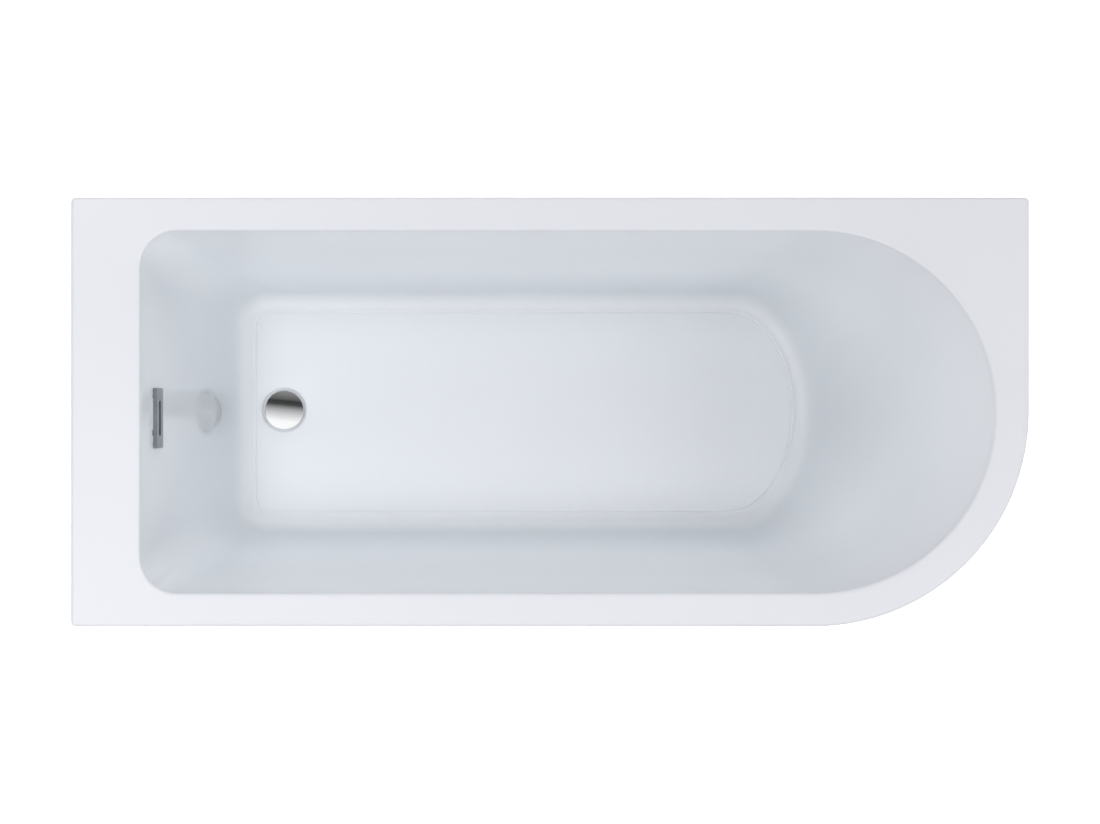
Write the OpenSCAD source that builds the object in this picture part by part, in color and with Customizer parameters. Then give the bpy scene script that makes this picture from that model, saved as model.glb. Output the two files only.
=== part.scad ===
// Corner bath, back to wall, with one round free corner, on an adjustable leg set.
// Frame: X along the bath (the waste end is at -X, the backrest at +X), Y across it
// (the long wall is at +Y, the open front at -Y), Z up, origin on the floor under the
// centre of the rim. Millimetres.

/* [Rim] */
// Overall length, waste end to backrest end
bath_l = 1675; // [1500:5:1800]
// Overall width
bath_w = 750; // [700:5:850]
// Height of the rim above the floor, with the feet as set
bath_h = 560; // [556:1:600]
// Width of the ledge at the waste end
ledge_end = 120; // [110:1:160]
// Width of the rim on the other three sides
rim_w = 57.5; // [55:0.5:75]
// Depth of the turned-down lip round the rim
lip_h = 40; // [36:1:50]
// Radius of the rim's outer edge
edge_r = 6; // [5.5:0.5:9]
// Radius of the square corners, seen from above
edge_corner_r = 8; // [7:0.5:16]
// Radius of the roll where the rim turns into the basin
roll_r = 10; // [8:0.5:16]

/* [Basin] */
// Depth of the basin at the waste, from the rim
basin_depth = 410; // [390:1:413]
// Width of the flat floor
floor_w = 380; // [350:5:420]
// Horizontal run of the waste-end wall
waste_wall_run = 155; // [140:1:170]
// Horizontal run of the sloping backrest
backrest_run = 317; // [280:1:340]
// Length of the rounded end of the floor
floor_end_a = 125; // [100:1:150]
// Radius of the two corners at the waste end, at the rim
rim_corner_r = 65; // [50:1:90]
// Radius of the two corners at the waste end, on the floor
floor_corner_r = 25; // [15:1:40]
// Radius between walls and floor
fillet_r = 40; // [30:1:50]
// How much the waste-end wall flattens towards its foot
waste_wall_curve = 0.85; // [0.6:0.05:1.3]
// Fall of the floor towards the waste, in mm per metre
floor_fall = 6; // [2:0.5:8]
// Diameter of the moulded dome low on the waste-end wall
dome_d = 70; // [60:1:85]
// Depth of the dome's centre below the rim
dome_depth = 300; // [270:1:320]
// Rise of the dome above its edge
dome_rise = 14; // [8:0.5:16]

/* [Laminate] */
// Thickness of the acrylic sheet
acrylic_t = 5; // [3.5:0.1:5.2]
// Thickness of the fibreglass on the walls
grp_t = 3.5; // [2.5:0.1:5]
// Thickness of the fibreglass bed over the base board, at the waste
grp_bed = 5; // [4:0.1:7]
// Thickness of the base board
board_t = 15; // [12:1:18]
// Width of the base board
board_w = 330; // [300:5:360]
// Inset of the board's ends from the ends of the floor
board_inset = 22; // [15:1:40]
// Width of the notch in the board round the waste
notch_w = 130; // [120:1:150]
// Thickness of the rim battens
batten_t = 18; // [15:1:20]
// Width of the rim battens along the sides
batten_w = 33; // [28:1:34]
// Width of the batten under the ledge
batten_end_w = 84; // [60:1:86]

/* [Legs] */
// Distance of the waste-end leg bar from the board's waste end
bar_waste_inset = 210.5; // [190:0.5:240]
// Distance of the backrest-end leg bar from the board's other end
bar_back_inset = 121; // [100:1:160]
// Length of a leg bar
bar_l = 590; // [580:1:610]
// Width of the bar's channel section
bar_w = 40; // [36:1:50]
// Height of the bar's channel section
bar_h = 25; // [20:1:30]
// Sheet thickness of the bars
bar_t = 2; // [1.5:0.1:3]
// Distance of the feet from the centre line
foot_y = 264; // [258:1:270]
// Diameter of a foot's threaded stud
stud_d = 10; // [8:1:12]
// Length of a foot's threaded stud
stud_l = 162; // [155:1:170]
// Diameter of a foot pad
pad_d = 50; // [40:1:60]
// Height of a foot pad
pad_h = 14; // [12:1:20]
// Thickness of the lock nuts
nut_t = 8; // [6:0.5:10]
// Sheet thickness of the brackets and stays
strip_t = 2.5; // [2:0.1:3]
// Width of the brackets and stays
strip_w = 40; // [30:1:50]

/* [Front panel] */
// Thickness of the panel
panel_t = 4; // [3:0.1:5]
// Width of the panel's top and bottom flanges
flange_w = 30; // [28:1:34]
// Gap between panel and floor
panel_gap = 5; // [3:0.5:10]
// Gap between the panel and the inside of the lip
lip_gap = 2; // [1:0.1:3]

/* [Waste] */
// Distance of the waste from the floor's waste end
waste_inset = 54.5; // [50:0.5:62]
// Offset of the waste from the centre line
waste_y = 4; // [0:1:6]
// Diameter of the chrome cap
cap_d = 74; // [72:0.5:78]
// Height of the cap's edge
cap_edge = 3; // [2:0.5:4]
// Rise of the cap's domed top
cap_rise = 2.5; // [1:0.5:4]
// Travel of the cap between shut and open
plug_travel = 9; // [6:0.5:11]
// Diameter of the moulded recess round the waste
recess_d = 85; // [82:0.5:94]
// Depth of the recess
recess_h = 2.5; // [1.5:0.1:3]
// Diameter of the waste flange
flange_d = 70; // [66:0.5:71]
// Outer diameter of the threaded tail
tail_d = 47.8; // [46:0.1:50]
// Wall thickness of the tail
tail_t = 3.4; // [3:0.1:4]
// Length of the tail below the flange's seat
tail_l = 64; // [62:0.5:68]
// Diameter of the stem under the cap
stem_d = 8; // [6:0.5:9]
// Running clearance of the stem, on the radius
stem_gap = 0.05; // [0.03:0.01:0.1]
// Outer diameter of the plug's cartridge
cartridge_d = 18; // [17:0.5:20]
// Wire thickness of the plug's spring
spring_wire = 1.2; // [0.8:0.1:1.6]
// Number of turns in the spring
spring_turns = 6; // [4:1:8]

/* [Overflow] */
// Length of the overflow cover
cover_l = 107; // [100:1:115]
// Height of the overflow cover
cover_h = 34; // [30:1:38]
// How far the cover stands off the wall
cover_t = 6; // [5:0.5:8]
// Length of the slot in the cover
slot_l = 64; // [50:1:70]
// Height of the slot in the cover
slot_h = 8.5; // [5:0.5:10]
// Depth of the cover's centre below the rim
overflow_depth = 85; // [70:1:95]
// Offset of the overflow from the centre line
overflow_y = -11; // [-12:1:4]
// Outer diameter of the overflow hose over its ribs
hose_d = 34; // [30:1:36]
// Bore of the overflow hose, which the spigots fill
hose_bore = 26; // [22:1:28]
// Radius of the hose's bend
hose_bend_r = 75; // [65:1:85]
// Pitch of the hose's ribs
rib_pitch = 8; // [6:0.5:10]

/* [Trap] */
// Outer diameter of the trap's tube
trap_d = 42; // [40:0.5:44]
// Wall thickness of the trap
trap_t = 2.5; // [2:0.1:3]
// Centre line radius of the trap's lower bend
trap_bend_r = 32; // [32:0.5:36]
// Centre line radius of the outlet elbow
elbow_r = 25; // [23:0.5:27]
// Outer diameter of the waste pipe that enters the outlet
pipe_d = 43; // [40:0.1:44]
// Depth of the outlet socket
socket_l = 30; // [25:1:35]
// Outer diameter of the trap's plastic nuts
trap_nut_d = 56; // [55:0.5:57]

/* [Hidden] */
$fn = 64;

// Steps along the outlines and the wall sections
corner_n = 5;
side_n = 4;
end_n = 32;
roll_n = 3;
wall_n = 4;
fillet_n = 3;
dome_n = 6;
end_step = 180 / end_n;

// Plan of the rim and of the floor
half_l = bath_l / 2;
half_w = bath_w / 2;
end_x = half_l - half_w;
rim_x0 = -half_l + ledge_end;
rim_hw = half_w - rim_w;
floor_x0 = rim_x0 + waste_wall_run;
floor_hw = floor_w / 2;
floor_x1 = end_x + rim_hw - backrest_run;
floor_z = bath_h - basin_depth;
waste_x = -floor_x0 - waste_inset;

// Levels of the pieces under the floor
board_top = floor_z - acrylic_t - grp_bed;
board_bottom = board_top - board_t;
under_rim = bath_h - acrylic_t;
batten_bottom = under_rim - batten_t;
flange_top = panel_gap + panel_t;

// Battens under the rim
batten_edge = acrylic_t + 1;
batten_y = half_w - batten_edge - batten_w / 2;
batten_back_reach = 300;
batten_end_l = 500;
batten_side_y0 = 20;
batten_side_l = 280;

// Base board
board_x0 = floor_x0 + board_inset;
board_x1 = floor_x1 - board_inset;
board_corner_r = 20;
board_end_r = 120;

// Fasteners and fits
wood_screw_d = 4.5;
wood_screw_l = 16;
leg_screw_l = 12;
stay_screw_l = 8;
small_screw_d = 4;
screw_head_h = 2.5;
screw_head_ratio = 1.9;
hole_play = 1;
thread_gap = 0.05;
seat_gap = 0.3;

// Legs and stays
bar_screw_y = board_w / 2 - 25;
stud_socket = 6;
nut_ratio = 1.9;
stay_back = 22;
stay_y = half_w - acrylic_t - lip_gap - panel_t - 1;
stay_toe = 24;
screw_edge = 8;

// Front panel
panel_out = acrylic_t + lip_gap;
panel_screw_x = spread(237.5 - half_l, end_x - 162.5, 4);
panel_screw_y = [100, 240];

// Wall brackets
bracket_x = spread(337.5 - half_l, half_l - 237.5, 3);
bracket_end_y = 150;
bracket_z = bath_h - lip_h - 6;
bracket_h = 50;
bracket_leg = 30;
riser_a = acrylic_t + 2;
bracket_screw_a = riser_a + strip_t + 12;
wall_hole_d = 6.5;
wall_hole_x = 11;

// Waste, from the recess down
recess_z = floor_z - recess_h;
recess_pad_d = recess_d + 2 * acrylic_t;
waste_hole_d = tail_d + 4;
top_gasket_t = 1;
seat_z = recess_z + top_gasket_t;
flange_t = 2.5;
tail_r = tail_d / 2;
cross_h = 10;
cross_t = 5;
cross_z = seat_z - 2 * cross_h;
window_w = 12;
lower_gasket_t = 3;
collar_d = 72;
collar_h = 30;
collar_wall = 5;
collar_z = board_top - lower_gasket_t - collar_h;
backnut_h = 10;
backnut_d = 70;

// Plug
seal_t = 1.5;
seal_d = 62;
seal_bore = 50;
cap_z = seat_z + flange_t + seat_gap + seal_t;
cap_socket = 2;
cartridge_z = seat_z - tail_l + 1;
cartridge_wall = 3;
cavity_d = 14;
spring_z = cartridge_z + cartridge_wall;
spring_set_l = 20;
stem_z = spring_z + spring_set_l;
stem_collar_h = 4;
cavity_h = spring_set_l + stem_collar_h + plug_travel + seat_gap;

// Overflow
cover_r = 3;
cover_bevel = 0.8;
cover_wall = 2;
overflow_hole_l = 76;
overflow_hole_h = 22;
overflow_screw_y = cover_l / 2 - 9;
overflow_seat = -acrylic_t - grp_t - 2;
body_x = overflow_seat - 7;
chamber_l = overflow_hole_l + 4;
chamber_h = overflow_hole_h + 4;
chamber_t = 34;
spigot_wall = 2;
spigot_l = 24;

// Overflow hose
cuff_d = hose_bore + 4;
cuff_l = 20;
hose_tube_d = hose_bore + 2.4;
port_h = collar_h / 2 - 2;
port_reach = 62;
hose_z = collar_z + port_h;
hose_start = collar_d / 2 + 2;
bend_rib_step = rib_pitch / hose_bend_r * 180 / PI;
clip_t = 1;
clip_w = 9;

// Trap
trap_bore = trap_d - 2 * trap_t;
washer_t = 3;
collar_rim = 3.5;
nut_lip = 2.5;
inlet_z = seat_z - tail_l - washer_t;
inlet_nut_h = 20;
swivel_gap = 0.3;
swivel_d = 50;
elbow_rise = 3;
outlet_clear = 3;
elbow_z = board_bottom - outlet_clear - trap_nut_d / 2 - elbow_r - elbow_rise;
joint_z = elbow_z - swivel_gap - washer_t;
bend_z = joint_z - 4;
union_nut_h = 16;
neck_l = 10;
socket_wall = 3;
socket_d = pipe_d + 7;
pipe_play = 0.2;
seal_ring_t = 4;
outlet_nut_h = 18;

// Dome
dome_lean = 12;
dome_sink = 1.5;
dome_back = 14;

// ---------------------------------------------------------------- outlines

function lerp(a, b, t) = a + (b - a) * t;
function spread(a, b, n) = [for (k = [0:n - 1]) lerp(a, b, k / (n - 1))];
function last(v) = v[len(v) - 1];
function tail(v) = [for (i = [1:len(v) - 1]) v[i]];
function unit(v) = v / norm(v);
function arc(cx, cy, rx, ry, a0, a1, n) =
    [for (i = [0:n]) let (a = lerp(a0, a1, i / n)) [cx + rx * cos(a), cy + ry * sin(a)]];
function between(p, q, n) = [for (i = [1:n - 1]) lerp(p, q, i / n)];
function bend(p, q, r, n) =
    [for (i = [0:n]) let (t = i / n) lerp(lerp(p, q, t), lerp(q, r, t), t)];

// Closed ring seen from above, anticlockwise: front-left corner, front side, round
// end, back side, back-left corner, waste end
function closed(front, round_end, back) =
    concat(front, between(last(front), round_end[0], side_n), round_end,
           between(last(round_end), back[0], side_n), back,
           between(last(back), front[0], side_n));
function ring(x0, hw, rc, round_end) =
    closed(arc(x0 + rc, rc - hw, rc, rc, 180, 270, corner_n), round_end,
           arc(x0 + rc, hw - rc, rc, rc, 90, 180, corner_n));

// A point of the rim's outer end: round in front, square with a small corner behind
function rim_end_point(a, r, rc) =
    a <= 0 ? [end_x + r * cos(a), r * sin(a)]
    : abs(a - 45) < 1.5 * end_step
        ? let (b = 45 + 45 * (a - 45) / end_step)
          [end_x + r - rc + rc * cos(b), r - rc + rc * sin(b)]
    : a < 45 ? [end_x + r, r * tan(a)]
    : [end_x + r / tan(a), r];

// The rim's outline, drawn in by an inset
function rim_ring(inset) =
    let (rc = edge_corner_r - inset)
    ring(inset - half_l, half_w - inset, rc,
         [for (k = [0:end_n]) rim_end_point(k * end_step - 90, half_w - inset, rc)]);

basin_ring = ring(rim_x0, rim_hw, rim_corner_r,
                  arc(end_x, 0, rim_hw, rim_hw, -90, 90, end_n));
floor_ring = ring(floor_x0, floor_hw, floor_corner_r,
                  arc(floor_x1 - floor_end_a, 0, floor_end_a, floor_hw, -90, 90, end_n));
ring_n = len(basin_ring);

function floor_at(x) = floor_z + floor_fall * (x + waste_x) / 1000;

// ---------------------------------------------------------------- basin wall

// Section of the wall as [inset from the rim edge, depth below the rim]: a roll at
// the rim, a wall that may flatten towards its foot, and a fillet onto the floor
wall_belly = 0.7;
function wall_section(run, depth, curve) =
    let (mean = atan((run - 0.9 * fillet_r) / (depth - 0.6 * fillet_r)),
         foot = mean * (1 + curve),
         foot_len = fillet_r * tan((90 - foot) / 2),
         foot_corner = [run - foot_len, depth],
         foot_start = foot_corner - foot_len * [sin(foot), cos(foot)],
         belly = foot_start - foot_start[1] * (1 - wall_belly) * [tan(foot), 1],
         top = atan(belly[0] / belly[1]),
         roll_len = roll_r * tan((90 - top) / 2),
         roll_end = roll_len * [sin(top), cos(top)])
    concat(bend([-roll_len, 0], [0, 0], roll_end, roll_n),
           tail(bend(roll_end, belly, foot_start, wall_n)),
           tail(bend(foot_start, foot_corner, [run, depth], fillet_n)));

// The wall runs from a point of the rim edge to the like point of the floor's edge.
// Its run is measured square to the rim edge, so the straight walls stay flat.
outward = closed(arc(0, 0, 1, 1, 180, 270, corner_n), arc(0, 0, 1, 1, -90, 90, end_n),
                 arc(0, 0, 1, 1, 90, 180, corner_n));
wall_ways = [for (i = [0:ring_n - 1]) floor_ring[i] - basin_ring[i]];
wall_runs = [for (i = [0:ring_n - 1]) -wall_ways[i] * outward[i]];
wall_sections = [for (i = [0:ring_n - 1])
    wall_section(wall_runs[i], bath_h - floor_at(floor_ring[i][0]),
                 waste_wall_curve * pow(max(0, -outward[i][0]), 2))];

function raise(flat, z) = [for (p = flat) [p[0], p[1], z]];
edge_rows = concat(
    [raise(rim_ring(0), bath_h - lip_h)],
    [for (a = [0:45:90]) raise(rim_ring(edge_r * (1 - cos(a))), bath_h - edge_r * (1 - sin(a)))]);
basin_rows = [for (r = [0:roll_n + wall_n + fillet_n])
    [for (i = [0:ring_n - 1])
        let (s = wall_sections[i][r], p = basin_ring[i] + wall_ways[i] * s[0] / wall_runs[i])
        [p[0], p[1], bath_h - s[1]]]];
rows = concat(edge_rows, basin_rows);
row_n = len(rows);
floor_mid_x = (floor_x0 + floor_x1) / 2;

// Upward normal of the surface at a point of the grid
function row_normal(r, i) =
    r == row_n - 1 ? [0, 0, 1]
    : let (along = rows[r][(i + 1) % ring_n] - rows[r][(i + ring_n - 1) % ring_n],
           inward = rows[r + 1][i] - rows[max(0, r - 1)][i])
      unit(cross(along, inward));
normals = [for (r = [0:row_n - 1]) [for (i = [0:ring_n - 1]) row_normal(r, i)]];
function sunk(t) =
    [for (r = [0:row_n - 1]) [for (i = [0:ring_n - 1]) rows[r][i] - t * normals[r][i]]];

acrylic_under = sunk(acrylic_t);
grp_first = len(edge_rows) + roll_n;
grp_over = [for (r = [grp_first:row_n - 1]) acrylic_under[r]];
grp_deep = sunk(acrylic_t + grp_t);
grp_under = concat([for (r = [grp_first:row_n - 2]) grp_deep[r]],
                   [[for (p = grp_deep[row_n - 1]) [p[0], p[1], board_top]]]);

// Place on the waste-end wall at a depth below the rim: [x, tilt from upright]
wall_mid = ring_n - side_n / 2;
function wall_place(depth) =
    let (z = bath_h - depth,
         r = [for (k = [0:row_n - 2])
              if (rows[k][wall_mid][2] > z && rows[k + 1][wall_mid][2] <= z) k][0],
         a = rows[r][wall_mid],
         b = rows[r + 1][wall_mid])
    [lerp(a[0], b[0], (a[2] - z) / (a[2] - b[2])), atan((b[0] - a[0]) / (a[2] - b[2]))];

// Spigot of the overflow body, and the plane of the hose between it and the waste
overflow_tilt = wall_place(overflow_depth)[1];
chamber_mid = body_x - chamber_t / 2;
port_x = wall_place(overflow_depth)[0] + chamber_mid * cos(overflow_tilt);
port_z = bath_h - overflow_depth + chamber_mid * sin(overflow_tilt);
hose_a = atan2(overflow_y - waste_y, port_x + waste_x);
hose_run = norm([port_x + waste_x, overflow_y - waste_y]);
hose_top = port_z - chamber_h / 2 - 4;

// Sheet between two grids of rows, closed in the middle of the floor
module sheet(over, under, over_mid, under_mid) {
    rn = len(over);
    mid = rn * ring_n;
    base = mid + 1;
    points = concat([for (row = over) each row], [over_mid],
                    [for (row = under) each row], [under_mid]);
    faces = concat(
        [for (r = [0:rn - 2], i = [0:ring_n - 1])
            let (a = r * ring_n + i, b = r * ring_n + (i + 1) % ring_n)
            each [[a, a + ring_n, b + ring_n], [a, b + ring_n, b],
                  [base + a, base + b + ring_n, base + a + ring_n],
                  [base + a, base + b, base + b + ring_n]]],
        [for (i = [0:ring_n - 1])
            let (j = (i + 1) % ring_n, a = (rn - 1) * ring_n + i, b = (rn - 1) * ring_n + j)
            each [[a, mid, b], [base + a, base + b, base + mid],
                  [i, j, base + j], [i, base + j, base + i]]]);
    polyhedron(points, faces, convexity = 6);
}

// ---------------------------------------------------------------- common forms

// Rectangle with round corners
module plate(l, w, r) {
    square([l - 2 * r, w], center = true);
    square([l, w - 2 * r], center = true);
    for (x = [-1, 1], y = [-1, 1])
        translate([x * (l / 2 - r), y * (w / 2 - r)]) circle(r);
}

// Tube along Z
module tube(d, bore, h)
    difference() {
        cylinder(d = d, h = h);
        translate([0, 0, -1]) cylinder(d = bore, h = h + 2);
    }

// Part of a tube's bend in the XZ plane, round an axis at the origin
module tube_bend(r, d, bore, from, turn)
    rotate([90, 0, 0]) rotate([0, 0, from]) rotate_extrude(angle = turn)
        translate([r, 0]) difference() {
            circle(d = d);
            if (bore > 0) circle(d = bore);
        }

// Outline of a shallow dome, from its edge to its top
function dome_arc(d, rise) =
    let (r = (d * d / 4 + rise * rise) / (2 * rise), half = asin(d / 2 / r))
    [for (k = [dome_n:-1:0]) let (a = half * k / dome_n) [r * sin(a), r * cos(a) - r + rise]];

// Screw that points up from its head
module screw(d, l) {
    translate([0, 0, -screw_head_h]) cylinder(d = d * screw_head_ratio, h = screw_head_h);
    cylinder(d = d, h = l - d);
    translate([0, 0, l - d]) cylinder(d1 = d, d2 = d / 3, h = d);
}

// Moves children to the wall face at a depth, with X square to the wall, into the basin
module on_waste_wall(depth, y)
    translate([wall_place(depth)[0], y, bath_h - depth])
        rotate([0, -wall_place(depth)[1], 0]) children();

// Slab on the waste-end wall: l along Y, h up the wall, from x0 to x1 along its normal
module wall_slab(l, h, r, x0, x1)
    translate([x0, 0, 0]) rotate([90, 0, 90]) linear_extrude(x1 - x0) plate(l, h, r);

module at_waste(z) translate([-waste_x, waste_y, z]) children();

// ---------------------------------------------------------------- shell

// Moulded dome; it leans back, so its upper side runs out into the wall
module moulded_dome()
    on_waste_wall(dome_depth, 0) intersection() {
        rotate([0, 90 - dome_lean, 0]) translate([0, 0, -dome_sink])
            rotate_extrude() polygon(concat([[0, -dome_back], [dome_d / 2, -dome_back]],
                                            dome_arc(dome_d, dome_rise)));
        translate([-acrylic_t / 2, -dome_d, -dome_d]) cube(2 * dome_d);
    }

module tub_shell()
    color("white") difference() {
        union() {
            sheet(rows, acrylic_under,
                  [floor_mid_x, 0, floor_at(floor_mid_x)],
                  [floor_mid_x, 0, floor_at(floor_mid_x) - acrylic_t]);
            at_waste(recess_z - acrylic_t) cylinder(d = recess_pad_d, h = acrylic_t);
            moulded_dome();
        }
        at_waste(recess_z) cylinder(d = recess_d, h = basin_depth);
        at_waste(board_top - 1) cylinder(d = waste_hole_d, h = basin_depth);
        on_waste_wall(overflow_depth, overflow_y) overflow_cuts();
    }

module fibreglass_backing()
    color("wheat") difference() {
        union() {
            sheet(grp_over, grp_under,
                  [floor_mid_x, 0, floor_at(floor_mid_x) - acrylic_t],
                  [floor_mid_x, 0, board_top]);
            on_waste_wall(overflow_depth, overflow_y)
                wall_slab(cover_l, cover_h, cover_r, overflow_seat, -acrylic_t - grp_t / 2);
        }
        at_waste(recess_z - acrylic_t) cylinder(d = recess_pad_d, h = basin_depth);
        at_waste(board_top - 1) cylinder(d = waste_hole_d, h = basin_depth);
        on_waste_wall(overflow_depth, overflow_y) overflow_cuts();
    }

// Openings for the overflow through the wall: a long hole and two screw holes
module overflow_cuts() {
    wall_slab(overflow_hole_l, overflow_hole_h, overflow_hole_h / 2 - 1, overflow_seat - 5, 1);
    overflow_screw_places() rotate([0, 90, 0])
        translate([0, 0, overflow_seat - 5]) cylinder(d = small_screw_d + hole_play, h = 20);
}

module overflow_screw_places()
    for (s = [-1, 1]) translate([0, s * overflow_screw_y, 0]) children();

// Board under the floor, with a notch at the waste
module base_board()
    color("burlywood") difference() {
        translate([0, 0, board_bottom]) linear_extrude(board_t) {
            translate([(board_x0 + board_x1) / 2 - board_end_r / 2, 0])
                plate(board_x1 - board_x0 - board_end_r, board_w, board_corner_r);
            translate([board_x1 - 2 * board_end_r, 0])
                plate(4 * board_end_r, board_w, board_end_r);
        }
        at_waste(board_bottom - 1) cylinder(d = notch_w, h = board_t + 2);
        translate([-waste_x - notch_w, waste_y - notch_w / 2, board_bottom - 1])
            cube([notch_w, notch_w, board_t + 2]);
        leg_bar_screw_places() cylinder(d = wood_screw_d, h = leg_screw_l);
    }

// Timber battens under the rim: front, back, waste end and backrest end
module rim_battens()
    color("tan") difference() {
        translate([0, 0, batten_bottom]) {
            for (s = [-1, 1])
                translate([rim_x0, s * batten_y - batten_w / 2, 0])
                    cube([end_x - rim_x0 + (s + 1) / 2 * batten_back_reach, batten_w, batten_t]);
            translate([batten_edge - half_l, -batten_end_l / 2, 0])
                cube([batten_end_w, batten_end_l, batten_t]);
            translate([half_l - batten_edge - batten_w, batten_side_y0, 0])
                cube([batten_w, batten_side_l, batten_t]);
        }
        panel_screw_places() cylinder(d = wood_screw_d, h = wood_screw_l);
        wall_bracket_places() bracket_screw_places()
            cylinder(d = wood_screw_d, h = wood_screw_l);
    }

// ---------------------------------------------------------------- legs

bar_x = [board_x0 + bar_waste_inset, board_x1 - bar_back_inset];

module leg_bar(k)
    color("silver") difference() {
        translate([bar_x[k] - bar_w / 2, -bar_l / 2, board_bottom - bar_h])
            cube([bar_w, bar_l, bar_h]);
        translate([bar_x[k] - bar_w / 2 + bar_t, -bar_l / 2 - 1, board_bottom - bar_h - bar_t])
            cube([bar_w - 2 * bar_t, bar_l + 2, bar_h]);
        for (s = [-1, 1])
            translate([bar_x[k], s * foot_y, board_bottom - bar_h])
                cylinder(d = stud_d + hole_play, h = bar_h + 1);
        leg_bar_screw_places() cylinder(d = wood_screw_d, h = leg_screw_l, center = true);
    }

// Screws up through each bar into the board, placed at the web's underside
module leg_bar_screw_places()
    for (x = bar_x, y = [-bar_screw_y, -bar_screw_y / 3, bar_screw_y / 3, bar_screw_y])
        translate([x, y, board_bottom - bar_t]) children();

module leg_bar_screws()
    color("gold") leg_bar_screw_places() screw(wood_screw_d, leg_screw_l);

// Feet in the order front and back at the waste end, front and back at the backrest
function foot_place(k) = [bar_x[floor(k / 2)], (k % 2 * 2 - 1) * foot_y, 0];

module foot_stud(k)
    color("lightgrey") translate(foot_place(k) + [0, 0, pad_h - stud_socket]) {
        cylinder(d = stud_d, h = stud_l - 1);
        translate([0, 0, stud_l - 1]) cylinder(d1 = stud_d, d2 = stud_d - 2, h = 1);
    }

module foot_pad(k)
    color("dimgrey") translate(foot_place(k)) difference() {
        rotate_extrude() polygon([[0, 0], [pad_d / 2 - 1, 0], [pad_d / 2, 1],
            [pad_d / 2, pad_h * 0.35], [stud_d * 1.1, pad_h - 1], [stud_d, pad_h], [0, pad_h]]);
        translate([0, 0, pad_h - stud_socket]) cylinder(d = stud_d, h = stud_socket + 1);
    }

module hex_nut(z)
    translate([0, 0, z]) difference() {
        cylinder(d = stud_d * nut_ratio, h = nut_t, $fn = 6);
        translate([0, 0, -1]) cylinder(d = stud_d + 2 * thread_gap, h = nut_t + 2);
    }

// One nut under each bar's web, and one on top of it or of the stay in front
module foot_lock_nuts()
    color("gold") for (k = [0:3])
        translate(foot_place(k)) {
            hex_nut(board_bottom - bar_t - nut_t);
            hex_nut(board_bottom + (1 - k % 2) * strip_t);
        }

// Stay from each front foot to the panel's bottom flange
module panel_stays()
    color("silver") for (x = bar_x)
        difference() {
            translate([x + strip_w / 2, 0, 0]) rotate([90, 0, -90])
                linear_extrude(strip_w) polygon([
                    [foot_y - stay_back, board_bottom], [stay_y - strip_t, board_bottom],
                    [stay_y - strip_t, flange_top + strip_t], [stay_y - stay_toe, flange_top + strip_t],
                    [stay_y - stay_toe, flange_top], [stay_y, flange_top],
                    [stay_y, board_bottom + strip_t], [foot_y - stay_back, board_bottom + strip_t]]);
            translate([x, -foot_y, board_bottom - 1])
                cylinder(d = stud_d + hole_play, h = strip_t + 2);
            stay_screw_places() translate([0, 0, -strip_t]) cylinder(d = wood_screw_d, h = strip_t * 3);
        }

module stay_screw_places()
    for (x = bar_x, s = [-1, 1])
        translate([x + s * strip_w / 4, strip_t + screw_edge - stay_y, flange_top + strip_t])
            rotate([180, 0, 0]) children();

module stay_screws() color("gold") stay_screw_places() screw(wood_screw_d, stay_screw_l);

// ---------------------------------------------------------------- front panel

// Plan of the rim, drawn in: square behind and at the waste end, round in front
module rim_plan(inset) {
    translate([inset - half_l, inset - half_w])
        square([half_l + end_x - inset, bath_w - 2 * inset]);
    translate([end_x, 0]) circle(half_w - inset, $fn = 128);
    translate([end_x, 0]) square(half_w - inset);
}

// Strip under the open front, the round corner and the backrest end
module j_strip(w)
    difference() {
        rim_plan(panel_out);
        rim_plan(panel_out + w);
        translate([-half_l, panel_out + w - half_w]) square([panel_out + w, bath_w]);
        translate([-half_l, half_w - panel_out - w])
            square([bath_l - panel_out - w, bath_w]);
    }

module front_panel()
    color("white") difference() {
        union() {
            translate([0, 0, panel_gap])
                linear_extrude(batten_bottom - panel_gap) j_strip(panel_t);
            for (z = [panel_gap, batten_bottom - panel_t])
                translate([0, 0, z]) linear_extrude(panel_t) j_strip(flange_w);
        }
        panel_screw_places() cylinder(d = wood_screw_d, h = panel_t * 3, center = true);
        stay_screw_places() cylinder(d = wood_screw_d, h = wood_screw_l);
    }

// Screws up through the panel's top flange into the battens
module panel_screw_places() {
    for (x = panel_screw_x)
        translate([x, panel_out + flange_w / 2 - half_w, batten_bottom - panel_t]) children();
    for (y = panel_screw_y)
        translate([half_l - panel_out - flange_w / 2, y, batten_bottom - panel_t]) children();
}

module panel_screws()
    color("gold") panel_screw_places() screw(wood_screw_d, wood_screw_l);

// ---------------------------------------------------------------- wall brackets

// The wall plane is at local y = 0, with the bath on its -Y side
module wall_bracket_places() {
    for (x = bracket_x) translate([x, half_w, 0]) children();
    translate([-half_l, bracket_end_y, 0]) rotate([0, 0, 90]) children();
}

module bracket_screw_places()
    for (s = [-1, 1])
        translate([s * strip_w * 0.3, -bracket_screw_a, batten_bottom - strip_t]) children();

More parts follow.
